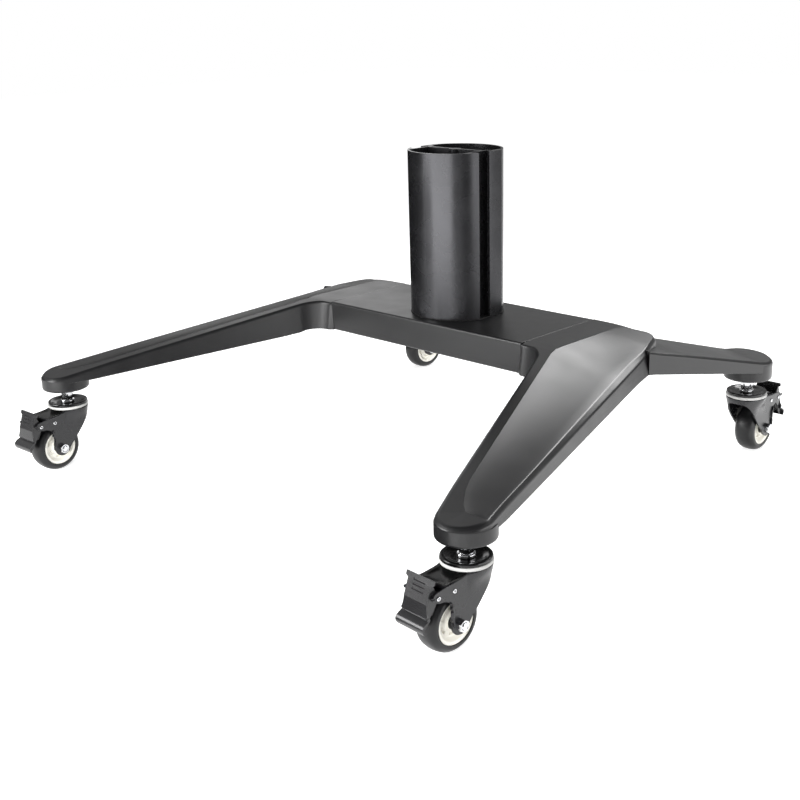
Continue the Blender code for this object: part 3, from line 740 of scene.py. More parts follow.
        bottom = np.select(
            [kind == "inner", kind == "bend", kind == "tip", kind == "outer"],
            [
                np.minimum(-BAR_HEIGHT, -52.4 - 0.0975 * (-120.0 - y)),
                np.minimum(-BAR_HEIGHT, -BAR_HEIGHT + 0.15 * (y + BAR_HALF_DEPTH)),
                -84.0 + 0 * y,
                np.minimum(-BAR_HEIGHT, -42.6 - 0.0987 * (22.8 - y)),
            ],
            -BAR_HEIGHT + 0 * y,
        )
        height = np.maximum(self.strip(y) - inner_inset - bottom, 0.0)
        lean = np.where((kind == "inner") | (kind == "bend"), self.wall_lean * 0.92 * height, 0.0)
        outside = (kind == "outer") | (kind == "blade")
        pull = np.where(outside, self.wall_lean * np.clip(self.shoulder(y) - 5.0 - bottom, 0.0, 40.0), 0.0)
        dish = np.where(kind == "outer", self.hollow, 0.0)
        sharp = np.where(outside, 1.0, np.minimum(inset * 0.8, 2.4))
        inset, drop, bottom, lean, pull, dish, sharp = (
            self.blended(v) for v in (inset, drop, bottom, lean, pull, dish, sharp)
        )
        return self.shell(plan, ridge, inset, drop, lean, bottom, self.front_top, sharp, pull, dish)

    def blended(self, values: Array) -> Array:
        """A loop of values, each the mean of its neighbourhood of five rows."""
        return sum(np.roll(values, shift) for shift in (-2, -1, 0, 1, 2)) / 5.0

    def rear_rows(self) -> Array:
        """The rear arm, which leaves from under the shoulder, as a grid."""
        outer = self.touch(self.hub_corner, self.rear_stem, -1.0)
        start = (253.7, BAR_HALF_DEPTH)
        inner = self.touch(start, self.rear_stem, 1.0)
        along = inner - np.array(start)
        bend = self.fillet_rows(start, (-1.0, 0.0), along, self.rear_fillet, 9)
        bend_end = start + self.setback(along, self.rear_fillet)
        plan = np.concatenate(
            [
                line((300.0, 40.0), self.hub_corner, 4),
                line(self.hub_corner, tuple(outer), 24),
                self.round_tip(outer, inner, self.rear_stem, 36),
                line(tuple(inner), tuple(bend_end), 20),
                bend[::-1],
                line((226.0, BAR_HALF_DEPTH - 3.0), (226.0, 45.0), 4),
                line((226.0, 45.0), (300.0, 40.0), 5),
            ]
        )
        y = plan[:, 1]
        share = np.clip((y - 50.0) / (255.5 - 50.0), 0.0, 1.0)[:, None]
        ridge = np.array([268.0, 56.0]) * (1 - share) + np.array(self.rear_stem) * share
        flat = 0.0 * y
        bottom = np.minimum(-BAR_HEIGHT, -44.6 - 0.18 * (y - 22.6))
        bottom = np.maximum(bottom, -84.0)
        ahead = np.arange(len(plan))
        near = self.blended(np.where((ahead >= 4) & (ahead < 46), 3.2, 1.5))
        return self.shell(plan, ridge, near, near, flat, bottom, self.rear_top, 0.36 * near, flat, flat)

    def boss(self, stem: tuple[float, float], top: float) -> Array:
        """The round pad under a tip, bored for the caster's stem."""
        low = self.boss_bottom
        profile = eased(
            [(6.4, top), (6.4, low), (self.boss_radius, low), (self.boss_radius, top)],
            [0.0, 0.8, 3.2, 0.0],
            6,
        )
        return turned(profile, 72, (stem[0], stem[1], 0.0))

    def build(self) -> None:
        """Makes the right-hand casting and its left-hand copy."""
        shift = np.array([0.0, self.axis_y, BAR_TOP])
        surface = Surface()
        surface.grid(self.front_rows() + shift, along=True)
        surface.grid(self.rear_rows() + shift, along=True)
        surface.grid(self.boss(self.front_stem, -80.0) + shift, along=True)
        surface.grid(self.boss(self.rear_stem, -74.0) + shift, along=True)
        piece("cast_leg_right", surface, POWDER_COAT, "base", ("leg_right",))
        piece("cast_leg_left", surface, POWDER_COAT, "base", ("leg_left",), flip_x=True)


@dataclass
class Crossbar:
    """The rectangular tube between the legs, its long edges rounded."""

    axis_y: float
    half_length: float = BAR_HALF_LENGTH
    half_depth: float = BAR_HALF_DEPTH
    height: float = BAR_HEIGHT
    edge: float = 3.2
    end_edge: float = 0.5

    def loop(self, shrink: float) -> Array:
        """The tube's outline, a rectangle with rounded corners, drawn in by a little."""
        half, top, low = self.half_depth - shrink, -shrink, -self.height + shrink
        radius = self.edge - shrink
        arcs = [
            bow((half - radius, top - radius), radius, 0.0, 90.0, 8),
            bow((-half + radius, top - radius), radius, 90.0, 180.0, 8),
            bow((-half + radius, low + radius), radius, 180.0, 270.0, 8),
            bow((half - radius, low + radius), radius, 270.0, 360.0, 8),
        ]
        ends = [(half - radius, top), (-half, top - radius), (-half + radius, low), (half, low + radius)]
        return np.concatenate([np.vstack([a, [e]]) for a, e in zip(arcs, ends)])

    def build(self) -> None:
        """Carries the outline from end to end, with a small chamfer at each seam."""
        places = [(-self.half_length, self.end_edge), (-self.half_length + self.end_edge, 0.0)]
        places += [(x, 0.0) for x in np.linspace(-self.half_length + 1.2, self.half_length - 1.2, 12)]
        places += [(self.half_length - self.end_edge, 0.0), (self.half_length, self.end_edge)]
        rings = [np.insert(self.loop(shrink), 0, x, axis=1) for x, shrink in places]
        grid = np.stack(rings) + np.array([0.0, self.axis_y, BAR_TOP])
        surface = Surface()
        surface.grid(grid, around=True)
        surface.cap(grid[0])
        surface.cap(grid[-1])
        piece("crossbar_tube", surface, POWDER_COAT, "base", ("crossbar",), smooth=40.0)


def rounded(corners: list[tuple], radii: list[float], steps: int = 4) -> Array:
    """A closed outline whose corners are rounded where they have a radius.

    Args:
        corners: Plan points in order.
        radii: Setback of each corner's curve, zero to keep the point.
        steps: Edges in each curve.

    Returns:
        The outline's points.
    """
    points, back = np.array(corners, dtype=float), np.array(radii, dtype=float)
    before = np.roll(points, 1, axis=0) - points
    after = np.roll(points, -1, axis=0) - points
    before /= np.linalg.norm(before, axis=1, keepdims=True)
    after /= np.linalg.norm(after, axis=1, keepdims=True)
    share = np.linspace(0.0, 1.0, steps + 1)[None, :, None]
    start = (points + before * back[:, None])[:, None]
    end = (points + after * back[:, None])[:, None]
    curves = (1 - share) ** 2 * start + 2 * share * (1 - share) * points[:, None] + share**2 * end
    chosen = np.ones(curves.shape[:2], dtype=bool)
    chosen[back == 0.0, 1:] = False
    return curves[chosen]


@dataclass
class Column:
    """The black extrusion: two bowed faces, a slot in each side and two chambers inside."""

    axis_y: float
    foot: float = BAR_TOP + 1.6
    top: float = 464.3
    half_width: float = 67.8
    half_depth: float = 68.0
    bow_radius: float = 74.7
    wall: float = 3.0
    slot_depth: float = 12.8
    slot_front: float = -24.7
    slot_back: float = -2.0
    side_half: float = 24.7
    groove: float = 0.15

    def bowed(self, inset: float, front: bool, half: float, steps: int) -> list[tuple]:
        """Plan points on a bowed face from its right end to its left end.

        Args:
            inset: How far inside the outside face.
            front: Whether it is the front face.
            half: Half the width that it covers.
            steps: How many edges.

        Returns:
            The points.
        """
        radius = self.bow_radius - inset
        middle = (self.bow_radius - self.half_depth) * (1.0 if front else -1.0)
        reach = math.asin(half / radius)
        turn = np.linspace(reach, -reach, steps + 1)
        return list(zip(radius * np.sin(turn), middle - radius * np.cos(turn) * (1.0 if front else -1.0)))

    def outside(self) -> Array:
        """The outline with its slots, each sharp corner broken, and the fine groove in front."""
        lip, floor = self.half_width - self.wall, self.half_width - self.slot_depth
        slot = [
            (self.half_width, self.side_half),
            (self.half_width, self.slot_back),
            (lip, self.slot_back),
            (lip, 8.0),
            (floor, 8.0),
            (floor, -30.0),
            (lip - 3.5, -30.0),
            (lip, self.slot_front),
        ]
        breaks = [0.8, 0.5, 0.3, 0.3, 0.5, 0.5, 0.3, 0.3]
        front = self.bowed(0.0, True, self.half_width - 0.02, 72)
        half = len(front) // 2
        right, left = front[:half], front[half + 1 :]
        low = front[half][1]
        cut = [(1.6, low), (0.8, low + self.groove), (0.0, low)]
        back = self.bowed(0.0, False, self.half_width - 2.0, 48)[::-1]
        corners = slot + right + cut + left + [(-x, y) for x, y in reversed(slot)] + back
        ends = [0.5] + [0.0] * (half - 1)
        radii = breaks + ends + [0.15, 0.15, 0.15] + ends[::-1] + breaks[::-1] + [0.0] * len(back)
        return rounded(corners, radii)

    def chambers(self) -> list[Array]:
        """The two hollows behind the bowed faces, as closed outlines."""
        reach = self.half_width - self.slot_depth - self.wall
        lip = self.half_width - self.wall - 5.0
        turn = np.radians(np.linspace(199.5, 340.5, 24))
        port = list(zip(9.0 * np.cos(turn), 9.0 * np.sin(turn)))
        front = [(reach, -3.0), *self.bowed(self.wall, True, reach, 40), (-reach, -3.0), *port]
        turn = np.radians(np.linspace(160.5, 19.5, 24))
        port = list(zip(9.0 * np.cos(turn), 9.0 * np.sin(turn)))
        rear = [(reach, 3.0), (reach, 11.0), (lip, 11.0), *self.bowed(self.wall, False, lip, 40)]
        rear += [(-lip, 11.0), (-reach, 11.0), (-reach, 3.0), *port]
        return [np.array(front), np.array(rear)]

    def build(self) -> None:
        """Carries the outlines up the column and closes its foot and its cut end."""
        surface = Surface()
        outside = self.outside()
        loops = [outside, *self.chambers()]
        lift = np.array([0.0, self.axis_y, 0.0])
        heights = np.linspace(self.foot, self.top, 9)
        for loop in loops:
            rings = [np.insert(loop, 2, height, axis=1) for height in heights]
            surface.grid(np.stack(rings) + lift, around=True)
        for height in (self.foot, self.top):
            rings = [np.insert(loop, 2, height, axis=1) + lift for loop in loops]
            flat = tessellate_polygon([[Vector(point) for point in ring] for ring in rings])
            surface.add(np.concatenate(rings), np.array(flat) + surface.count, 0)
        piece("extruded_column", surface, ANODISED, "base", ("column",), smooth=28.0)


def lobed(corner: float, profile: list[tuple], centre: tuple, axis: str = "Z") -> Array:
    """A hexagon bar whose ends are turned to a chamfer.

    Args:
        corner: Distance from the axis to a corner of the hexagon.
        profile: Greatest radius and height, one pair for each ring.
        centre: Where the axis passes.
        axis: "Z" or "Y".

    Returns:
        A closed grid, steps by rings by three.
    """
    steps = FLATS * FLAT_STEPS
    angle = np.linspace(0.0, 2 * np.pi, steps, endpoint=False)
    within = np.mod(angle, 2 * np.pi / FLATS) - np.pi / FLATS
    flat = corner * math.cos(math.pi / FLATS) / np.cos(within)
    limits = np.array(profile)
    grid = turned(np.column_stack([np.ones(len(limits)), limits[:, 1]]), steps, axis=axis)
    radius = np.minimum(flat[:, None], limits[None, :, 0])
    across = [0, 1] if axis == "Z" else [0, 2]
    grid[:, :, across] *= radius[:, :, None]
    return grid + np.array(centre)


def curve_through(knots: Array, steps: int) -> Array:
    """Points on a smooth curve that passes through every knot (Catmull and Rom's form).

    Args:
        knots: One knot a row, with any number of coordinates.
        steps: Points from each knot to the next.

    Returns:
        The curve's points, with both ends.
    """
    padded = np.vstack([2 * knots[:1] - knots[1:2], knots, 2 * knots[-1:] - knots[-2:-1]])
    a, b, c, d = padded[:-3], padded[1:-2], padded[2:-1], padded[3:]
    t = np.linspace(0.0, 1.0, steps, endpoint=False)[None, :, None]
    a, b, c, d = (v[:, None] for v in (a, b, c, d))
    found = 0.5 * (2 * b + (c - a) * t + (2 * a - 5 * b + 4 * c - d) * t**2 + (3 * b - a - 3 * c + d) * t**3)
    return np.vstack([found.reshape(-1, knots.shape[1]), knots[-1:]])


@dataclass
class Caster:
    """One braked swivel caster, drawn from its swivel axis with the wheel trailing along +X."""

    where: Corner
    stem: tuple[float, float]
    trail: float
    axis_y: float
    fork_top: float = 94.6
    offset: float = 31.4
    axle: float = 37.5
    half_outside: float = 21.5
    pivot: tuple[float, float] = (63.0, 79.5)
    tie: tuple[float, float] = (39.6, 80.0)
    marks: tuple[float, float, float] = (95.0, 90.2, 85.4)

    def placed(self, surface: Surface) -> Surface:
        """Turns the surface to the way this caster trails and stands it under its stem."""
        angle = math.radians(self.trail)
        cosine, sine = math.cos(angle), math.sin(angle)
        turn = np.array([[cosine, sine, 0.0], [-sine, cosine, 0.0], [0.0, 0.0, 1.0]])
        move = np.array([self.stem[0], self.stem[1] + self.axis_y, 0.0])
        surface.points = [points @ turn + move for points in surface.points]
        return surface

    def add(self, stem: str, surface: Surface, finish: Finish, body: str, node: str, **rest: object) -> None:
        """Makes one piece of this caster.

        Args:
            stem: The first part of the object's name.
            surface: Its surface in the caster's own place.
            finish: Its finish.
            body: The first part of the name of the body that carries it.
            node: The first part of the name of the node it stands for.
            **rest: Passed to piece.
        """
        corner = self.where.value
        carrier = "base" if body == "base" else f"{body}_{corner}"
        piece(f"{stem}_{corner}", self.placed(surface), finish, carrier, (f"{node}_{corner}",), **rest)

    def threaded_stem(self) -> None:
        """Chrome stem: collar, waist, hexagon and rolled thread, with the kingpin below."""
        top = self.fork_top
        surface = Surface()
        pitch, crest, root = 1.75, 6.0, 5.1
        turns = np.arange(117.4, 143.0, pitch / 2)
        thread = [(crest if n % 2 else root, height) for n, height in enumerate(turns)]
        lower = eased(
            [
                (0.0, 83.8), (6.0, 84.2), (7.0, 86.6), (4.0, 86.6), (4.0, top + 5.7), (10.5, top + 5.7),
                (10.5, top + 9.6), (8.2, top + 10.0), (8.5, 110.6), (9.0, 111.0),
            ],
            [0.0, 0.6, 0.5, 0.0, 0.2, 1.0, 1.3, 0.3, 0.2, 0.0],
        )
        surface.grid(turned(lower, 72), along=True)
        hexagon = [(8.2, 111.0), (9.1, 111.05), (9.8, 112.0), (9.8, 121.9), (9.0, 122.95), (6.0, 123.0)]
        surface.grid(lobed(9.8, hexagon, (0, 0, 0)), along=True)
        upper = np.array([(root, 122.9 - 6.0), *thread, (root, 144.6), (4.4, 145.3), (0.0, 145.3)])
        surface.grid(turned(upper, 48), along=True)
        self.add("stem", surface, PLATING, "base", "threaded_stem")

    def disc(self) -> None:
        """Pressed top disc: a dish inside a raised rim."""
        top = self.fork_top
        profile = eased(
            [
                (4.3, top + 2.0), (4.3, top + 5.4), (18.0, top + 5.4), (24.6, top + 8.4), (28.5, top + 8.4),
                (29.3, top + 7.2), (29.3, top + 4.4), (23.4, top + 4.4), (18.5, top + 2.0), (4.3, top + 2.0),
            ],
            [0.0, 0.3, 3.0, 2.4, 0.7, 0.7, 0.4, 1.0, 1.0, 0.0],
        )
        surface = Surface()
        surface.grid(turned(profile, 96), along=True)
        self.add("disc", surface, ENAMEL, "base", "top_disc")

    def ring(self) -> None:
        """Moulded dust ring round the bearing, its edges broken and a fine step under its rim."""
        low, high = self.fork_top + 0.3, self.fork_top + 4.1
        profile = eased(
            [
                (24.5, low), (24.5, high), (29.7, high), (30.1, high - 1.2), (30.1, low + 1.1),
                (29.7, low + 1.0), (29.7, low), (24.5, low),
            ],
            [0.0, 0.3, 0.6, 0.4, 0.15, 0.15, 0.3, 0.0],
        )
        surface = Surface()
        surface.grid(turned(profile, 96), along=True)
        self.add("dust_seal", surface, ACETAL, "base", "dust_ring")

    def neck(self, height: Array) -> tuple[Array, Array, Array]:
        """Half width, front reach and squareness of the fork's level section at a height."""
        levels = [20.0, 62.0, 70.0, 76.0, 81.0, 86.0, 90.0, 94.6]
        wide = np.interp(height, levels, [21.5, 21.5, 21.9, 23.0, 24.9, 27.4, 29.0, 29.7])
        front = np.interp(height, levels, [21.5, 22.4, 22.9, 23.9, 25.6, 27.7, 29.0, 29.7])
        square = np.interp(height, levels, [4.0, 3.9, 3.6, 3.1, 2.6, 2.2, 2.05, 2.0])
        return wide, front, square

    def flank(self, share: Array, height: Array) -> Array:
        """Plan point of the fork's outside: round the front for share 0 to 1, then to the cheek."""
        wide, front, square = self.neck(height)
        angle = np.radians(90.0 * np.clip(share, 0.0, 1.0))
        x = -front * np.cos(angle).clip(0.0) ** (2.0 / square)
        y = wide * np.sin(angle) ** (2.0 / square)
        past = np.clip(share - 1.0, 0.0, 1.0)
        x = np.where(share > 1.0, 19.8 * past, x)
        y = np.where(share > 1.0, self.half_outside + (wide - self.half_outside) * (1.0 - past**2), y)
        return np.stack([x, y], axis=-1)

    def hem(self, x: Array) -> Array:
        """Height of the fork's lower edge in front of the axle."""
        line_x = [-31.0, -27.0, -24.0, -21.0, -18.0, -15.0, -11.0, -6.0, 1.0, 8.0, 14.0, 17.5, 19.8]
        line_z = [87.5, 86.4, 84.2, 80.6, 76.4, 72.6, 67.6, 61.2, 53.2, 45.6, 39.8, 34.8, 30.8]
        return np.interp(x, line_x, line_z)

    def crown(self, x: Array) -> Array:
        """Height of the fork's top: level round the neck, then falling along the cheeks."""
        line_x = [-31.0, 10.0, 15.0, 19.8, 24.0, 29.0, 37.0, 46.0, 51.0, 57.0, 60.5, 64.5, 68.2, 70.4]
        line_z = [94.6, 94.6, 94.0, 92.7, 91.4, 90.5, 89.7, 89.0, 88.5, 87.7, 87.2, 86.6, 85.2, 82.4]
        return np.interp(x, line_x, line_z)

    def fork_skin(self) -> Array:
        """The fork's outside from the middle of its front to the tip of one nose.

        Rows round the neck run from the top edge down to the hem at one share of the turn; rows
        on the cheek join a point of its top edge to one of its lower edge. Each row starts with
        the fold that turns the sheet over into the web.

        Returns:
            The grid, from the fold's inner end to the lower edge.
        """
        down = np.linspace(0.0, 1.0, 13)[None, :]
        share = np.concatenate([np.linspace(0.0, 1.0, 25), np.linspace(1.0, 2.0, 11)[1:]])
        low = np.full(len(share), 60.0)
        for _ in range(60):
            low = 0.6 * low + 0.4 * self.hem(self.flank(share, low)[:, 0])
        fold = 1.7
        brow = self.crown(19.8 * np.clip(share - 1.0, 0.0, 1.0))[:, None] - fold
        height = brow * (1 - down) + low[:, None] * down
        plan = self.flank(np.broadcast_to(share[:, None], height.shape), height)
        neck = np.concatenate([plan, height[..., None]], axis=2)
        pairs = np.array(
            [
                (19.8, 91.5, 19.8, 30.8), (24.0, 89.9, 23.7, 28.3), (29.0, 89.4, 27.3, 26.2),
                (33.0, 89.2, 31.4, 25.5), (37.0, 89.0, 37.4, 27.1), (40.5, 88.8, 41.8, 31.5),
                (43.5, 88.7, 43.4, 37.5), (46.0, 88.6, 42.4, 43.5), (48.5, 88.5, 41.9, 49.0),
                (51.0, 88.3, 41.8, 57.0), (54.0, 88.0, 43.0, 63.5), (57.0, 87.6, 47.5, 69.0),
                (60.5, 87.1, 54.5, 72.4), (64.5, 86.5, 62.0, 73.4), (68.2, 85.2, 67.4, 76.4),
                (70.4, 82.4, 69.9, 79.4), (70.4, 82.4, 70.4, 80.6),
            ]
        )
        pairs[:, 1] = self.crown(pairs[:, 0])
        ends = curve_through(pairs, 3)[1:]
        folds = np.interp(ends[:, 0], [0.0, 44.0, 52.0, 66.0, 70.5], [fold, fold, 0.6, 0.5, 0.1])[:, None]
        upper = np.concatenate([ends[:, :1], ends[:, 1:2] - folds], axis=1)[:, None]
        flat = upper * (1 - down[..., None]) + ends[:, None, 2:] * down[..., None]
        cheek = np.stack([flat[..., 0], np.full(flat.shape[:2], self.half_outside), flat[..., 1]], axis=-1)
        whole = np.concatenate([neck, cheek], axis=0)
        reach = np.concatenate([np.full((len(neck), 1), fold), folds])[:, None]
        base = whole[:, :1]
        centre_x = np.where(base[..., :1] < 0.0, 0.0, base[..., :1])
        inward = np.concatenate([centre_x - base[..., :1], -base[..., 1:2], 0.0 * base[..., :1]], axis=2)
        inward /= np.maximum(np.linalg.norm(inward, axis=2, keepdims=True), 1e-6)
        turn = np.radians(np.linspace(90.0, 15.0, 6))[None, :, None]
        bend = base + inward * reach * (1 - np.cos(turn)) + np.array([0.0, 0.0, 1.0]) * reach * np.sin(turn)
        return np.concatenate([bend, whole], axis=1)

    def fork(self) -> None:
        """Pressed fork: folded neck and cheeks, and the web that the kingpin passes through."""
        skin = self.fork_skin()
        flip = np.array([1.0, -1.0, 1.0])
        surface = Surface()
        surface.grid(np.concatenate([(skin * flip)[::-1][:-1], skin], axis=0)[::-1])
        rim = skin[:, 0]
        web = rim[rim[:, 0] <= 50.2]
        last = web[-1]
        turn = np.linspace(-0.5 * np.pi, 0.5 * np.pi, 17)
        front = np.column_stack(
            [last[0] + 1.6 * np.cos(turn), np.linspace(last[1], -last[1], 17), np.full(17, last[2])]
        )
        loop = np.concatenate([web, front[1:-1], web[::-1] * flip])
        inward = np.linspace(0.0, 1.0, 14)[None, :, None]
        unit = loop[:, :2] / np.linalg.norm(loop[:, :2], axis=1, keepdims=True)
        hole = np.column_stack([unit * 4.3, np.full(len(loop), self.fork_top)])
        disc = loop[:, None] * (1 - inward) + hole[:, None] * inward
        sink = 1.5 * np.clip((disc[..., 0] - 24.0) / 6.0, 0.0, 1.0)
        sink *= np.clip((51.0 - disc[..., 0]) / 4.0, 0.0, 1.0)
        sink *= np.clip((17.5 - np.abs(disc[..., 1])) / 5.0, 0.0, 1.0)
        disc[:, 1:, 2] = (self.crown(disc[..., 0]) - sink)[:, 1:]
        # slot 1 gives the web the darker copy of the fork paint, which paints its shade
        surface.grid(disc, slot=1)
        drops = [(0.0, 0.0, 0.0), (0.9, 0.0, -0.5), (1.2, 0.0, -1.6), (1.2, 0.0, -3.4)]
        surface.grid(np.stack([front + np.array(drop) for drop in drops], axis=1)[::-1])
        self.add(
            "pressed_fork", surface, ELECTROCOAT, "caster", "fork", sheet=2.4, edge=0.4, second=SHADED_WEB_PAINT
        )

    def wheel(self) -> None:
        """Cast tread on a moulded hub with a recessed face, slots and a dark bush."""
        centre = (self.offset, 0.0, self.axle)
        profile = eased(
            [
                (26.8, -15.85), (31.0, -15.6), (36.2, -10.5), (37.5, 0.0),
                (36.2, 10.5), (31.0, 15.6), (26.8, 15.85),
            ],
            [0.0, 2.2, 4.5, 6.0, 4.5, 2.2, 0.0],
            6,
        )
        profile = np.vstack([profile, profile[:1]])
        surface = Surface()
        surface.grid(turned(profile, 120, centre, "Y"), along=True)
        self.add("tread", surface, POLYURETHANE, "wheel", "tyre")

        steps = 192
        angle = np.linspace(0.0, 2 * np.pi, steps, endpoint=False)[:, None]
        side = eased(
            [
                (4.3, 18.4), (8.2, 18.4), (9.6, 10.5), (11.0, 8.6), (19.4, 7.6),
                (22.6, 13.9), (24.0, 14.4), (26.5, 14.4), (26.5, 0.0),
            ],
            [0.0, 0.6, 0.6, 0.8, 1.4, 0.9, 0.4, 0.5, 0.0],
        )
        place = np.linspace(0, len(side) - 1, 4 * len(side) - 3)
        radii, faces = (np.interp(place, np.arange(len(side)), side[:, at]) for at in (0, 1))
        wave = np.mod(angle, np.pi / 3) - np.pi / 6
        along = np.clip((0.28 - np.abs(wave)) / 0.035, 0.0, 1.0)
        across = np.clip((1.5 - np.abs(radii[None] - 15.4)) / 0.5, 0.0, 1.0)
        depth = faces[None] - 3.4 * along * across
        surface = Surface()
        for sign in (1.0, -1.0):
            ring = np.stack([radii * np.cos(angle), sign * depth, radii * np.sin(angle)], axis=2)
            ring = ring + np.array(centre)
            bush = int(np.argmax(radii > 9.2))
            surface.grid(ring[:, : bush + 1], along=True, slot=1)
            surface.grid(ring[:, bush:], along=True)
        self.add("hub", surface, NYLON, "wheel", "wheel_hub", second=BUSH, smooth=40.0)

    def axle_hardware(self) -> None:
        """Hexagon bolt through the wheel, with its nut on the other cheek."""
        centre = (self.offset, 0.0, self.axle)
        surface = Surface()
        head = [
            (0.0, -27.4), (7.1, -27.4), (8.0, -26.6), (8.0, -22.6),
            (7.2, -22.1), (7.2, -21.8), (4.0, -21.8),
        ]
        surface.grid(lobed(8.0, head, centre, "Y"), along=True)
        turns = np.arange(21.0, 28.9, 0.6)
        shank = [(4.0, -21.8), (4.0, 20.5)] + [(4.0 if n % 2 else 3.55, y) for n, y in enumerate(turns)]
        shank += [(3.4, 29.3), (2.9, 29.5), (0.0, 29.5)]
        surface.grid(turned(np.array(shank), 40, centre, "Y"), along=True)
        self.add("bolt", surface, PLATING, "caster", "axle_bolt")
        surface = Surface()
        nut = [
            (4.3, 21.8), (6.9, 21.8), (7.5, 22.6), (7.5, 27.5),
            (6.7, 28.2), (5.4, 28.3), (4.3, 27.6), (4.3, 21.8),
        ]
        surface.grid(lobed(7.5, nut, centre, "Y"), along=True)
        self.add("nut", surface, PLATING, "caster", "axle_nut")

    def rivets(self) -> None:
        """Eyelet rivets of the pedal and of the fork, their ends rolled over."""
        face = self.half_outside + 0.3
        for label, node, spot in (("pivot", "pedal_rivet", self.pivot), ("tie", "fork_rivet", self.tie)):
            half = eased(
                [
                    (0.0, face - 0.6), (1.0, face - 0.5), (1.4, face + 1.1),
                    (2.2, face + 1.0), (2.8, face + 0.1), (1.9, face),
                ],
                [0.0, 0.4, 0.3, 0.5, 0.2, 0.0],
            )
            profile = np.vstack([half, half[::-1] * np.array([1.0, -1.0])])
            surface = Surface()
            surface.grid(turned(profile, 40, (spot[0], 0.0, spot[1]), "Y"), along=True)
            self.add(f"{label}_eyelet", surface, PLATING, "caster", node)

    def pedal(self) -> None:
        """Pressed pedal: eared and slotted treadle, step, flared lip and two flanges."""
        knots = [
            (68.0, 100.5), (69.2, 96.5), (70.6, 92.0), (73.8, 83.0), (75.9, 77.2), (76.5, 75.4),
            (76.8, 73.4), (77.5, 67.5), (78.3, 61.6), (78.1, 60.4), (76.8, 59.6), (76.7, 58.5),
            (78.4, 57.5), (81.6, 56.0), (84.6, 53.9), (86.3, 51.0), (86.0, 47.6), (84.2, 44.2),
        ]
        face = curve_through(np.array(knots), 5)
        place = np.arange(len(face), dtype=float)
        falling = face[:, 1] > 66.0
        lines = np.array([z + shift for z in self.marks for shift in (1.3, 0.7, -0.7, -1.3)])
        extra = np.interp(-lines, -face[falling, 1], place[falling])
        order = np.sort(np.concatenate([place, extra]))
        x, z = np.interp(order, place, face[:, 0]), np.interp(order, place, face[:, 1])
        half = np.interp(
            z, [57.0, 60.5, 65.0, 70.0, 76.0, 94.2, 95.8], [21.0, 20.6, 18.8, 17.6, 17.4, 17.4, 21.0]
        )
        inner = np.concatenate([[-8.9, -8.2], np.linspace(-7.4, 7.4, 9), [8.2, 8.9]])
        wing = np.linspace(0.0, 1.0, 6)[1:]
        across = np.concatenate(
            [
                -(8.9 + (half[:, None] - 8.9) * wing[::-1]),
                np.broadcast_to(inner, (len(x), len(inner))),
                8.9 + (half[:, None] - 8.9) * wing,
            ],
            axis=1,
        )
        nearest = np.min(np.abs(z[:, None] - np.array(self.marks)), axis=1)[:, None]
        sunk = np.clip((1.3 - nearest) / 0.6, 0.0, 1.0) * np.clip((8.9 - np.abs(across)) / 0.7, 0.0, 1.0)
        grid = np.stack([x[:, None] - 1.1 * sunk, across, np.broadcast_to(z[:, None], across.shape)], axis=2)
        surface = Surface()
        surface.grid(grid[:, ::-1])
        self.add("treadle", surface, PEDAL_ENAMEL, "brake", "brake_pedal", sheet=1.9, edge=0.35)
        flange = curve_through(
            np.array(
                [
                    (67.8, 96.6), (70.6, 89.0), (73.2, 81.2), (75.6, 73.0), (76.6, 64.0), (78.6, 56.0),
                    (83.4, 50.0), (82.4, 45.6), (76.6, 50.5), (71.0, 60.0), (64.0, 69.6), (59.3, 75.2),
                    (58.3, 80.2), (61.4, 84.6), (65.2, 90.2), (67.8, 96.6),
                ]
            ),
            5,
        )[:-1]
        surface = Surface()
        for sign in (1.0, -1.0):
            plate = np.column_stack([flange[:, 0], np.full(len(flange), 17.6 * sign), flange[:, 1]])
            inner_face = plate - np.array([0.0, 1.7 * sign, 0.0])
            surface.cap(plate)
            surface.cap(inner_face)
            surface.grid(np.stack([plate, inner_face]), around=True)
        self.add("pedal_flanges", surface, PEDAL_ENAMEL, "brake", "brake_pedal", edge=0.35)

    def build(self) -> None:
        """Makes every piece of the caster."""
        self.threaded_stem()
        self.disc()
        self.ring()
        self.fork()
        self.wheel()
        self.axle_hardware()
        self.rivets()
        self.pedal()


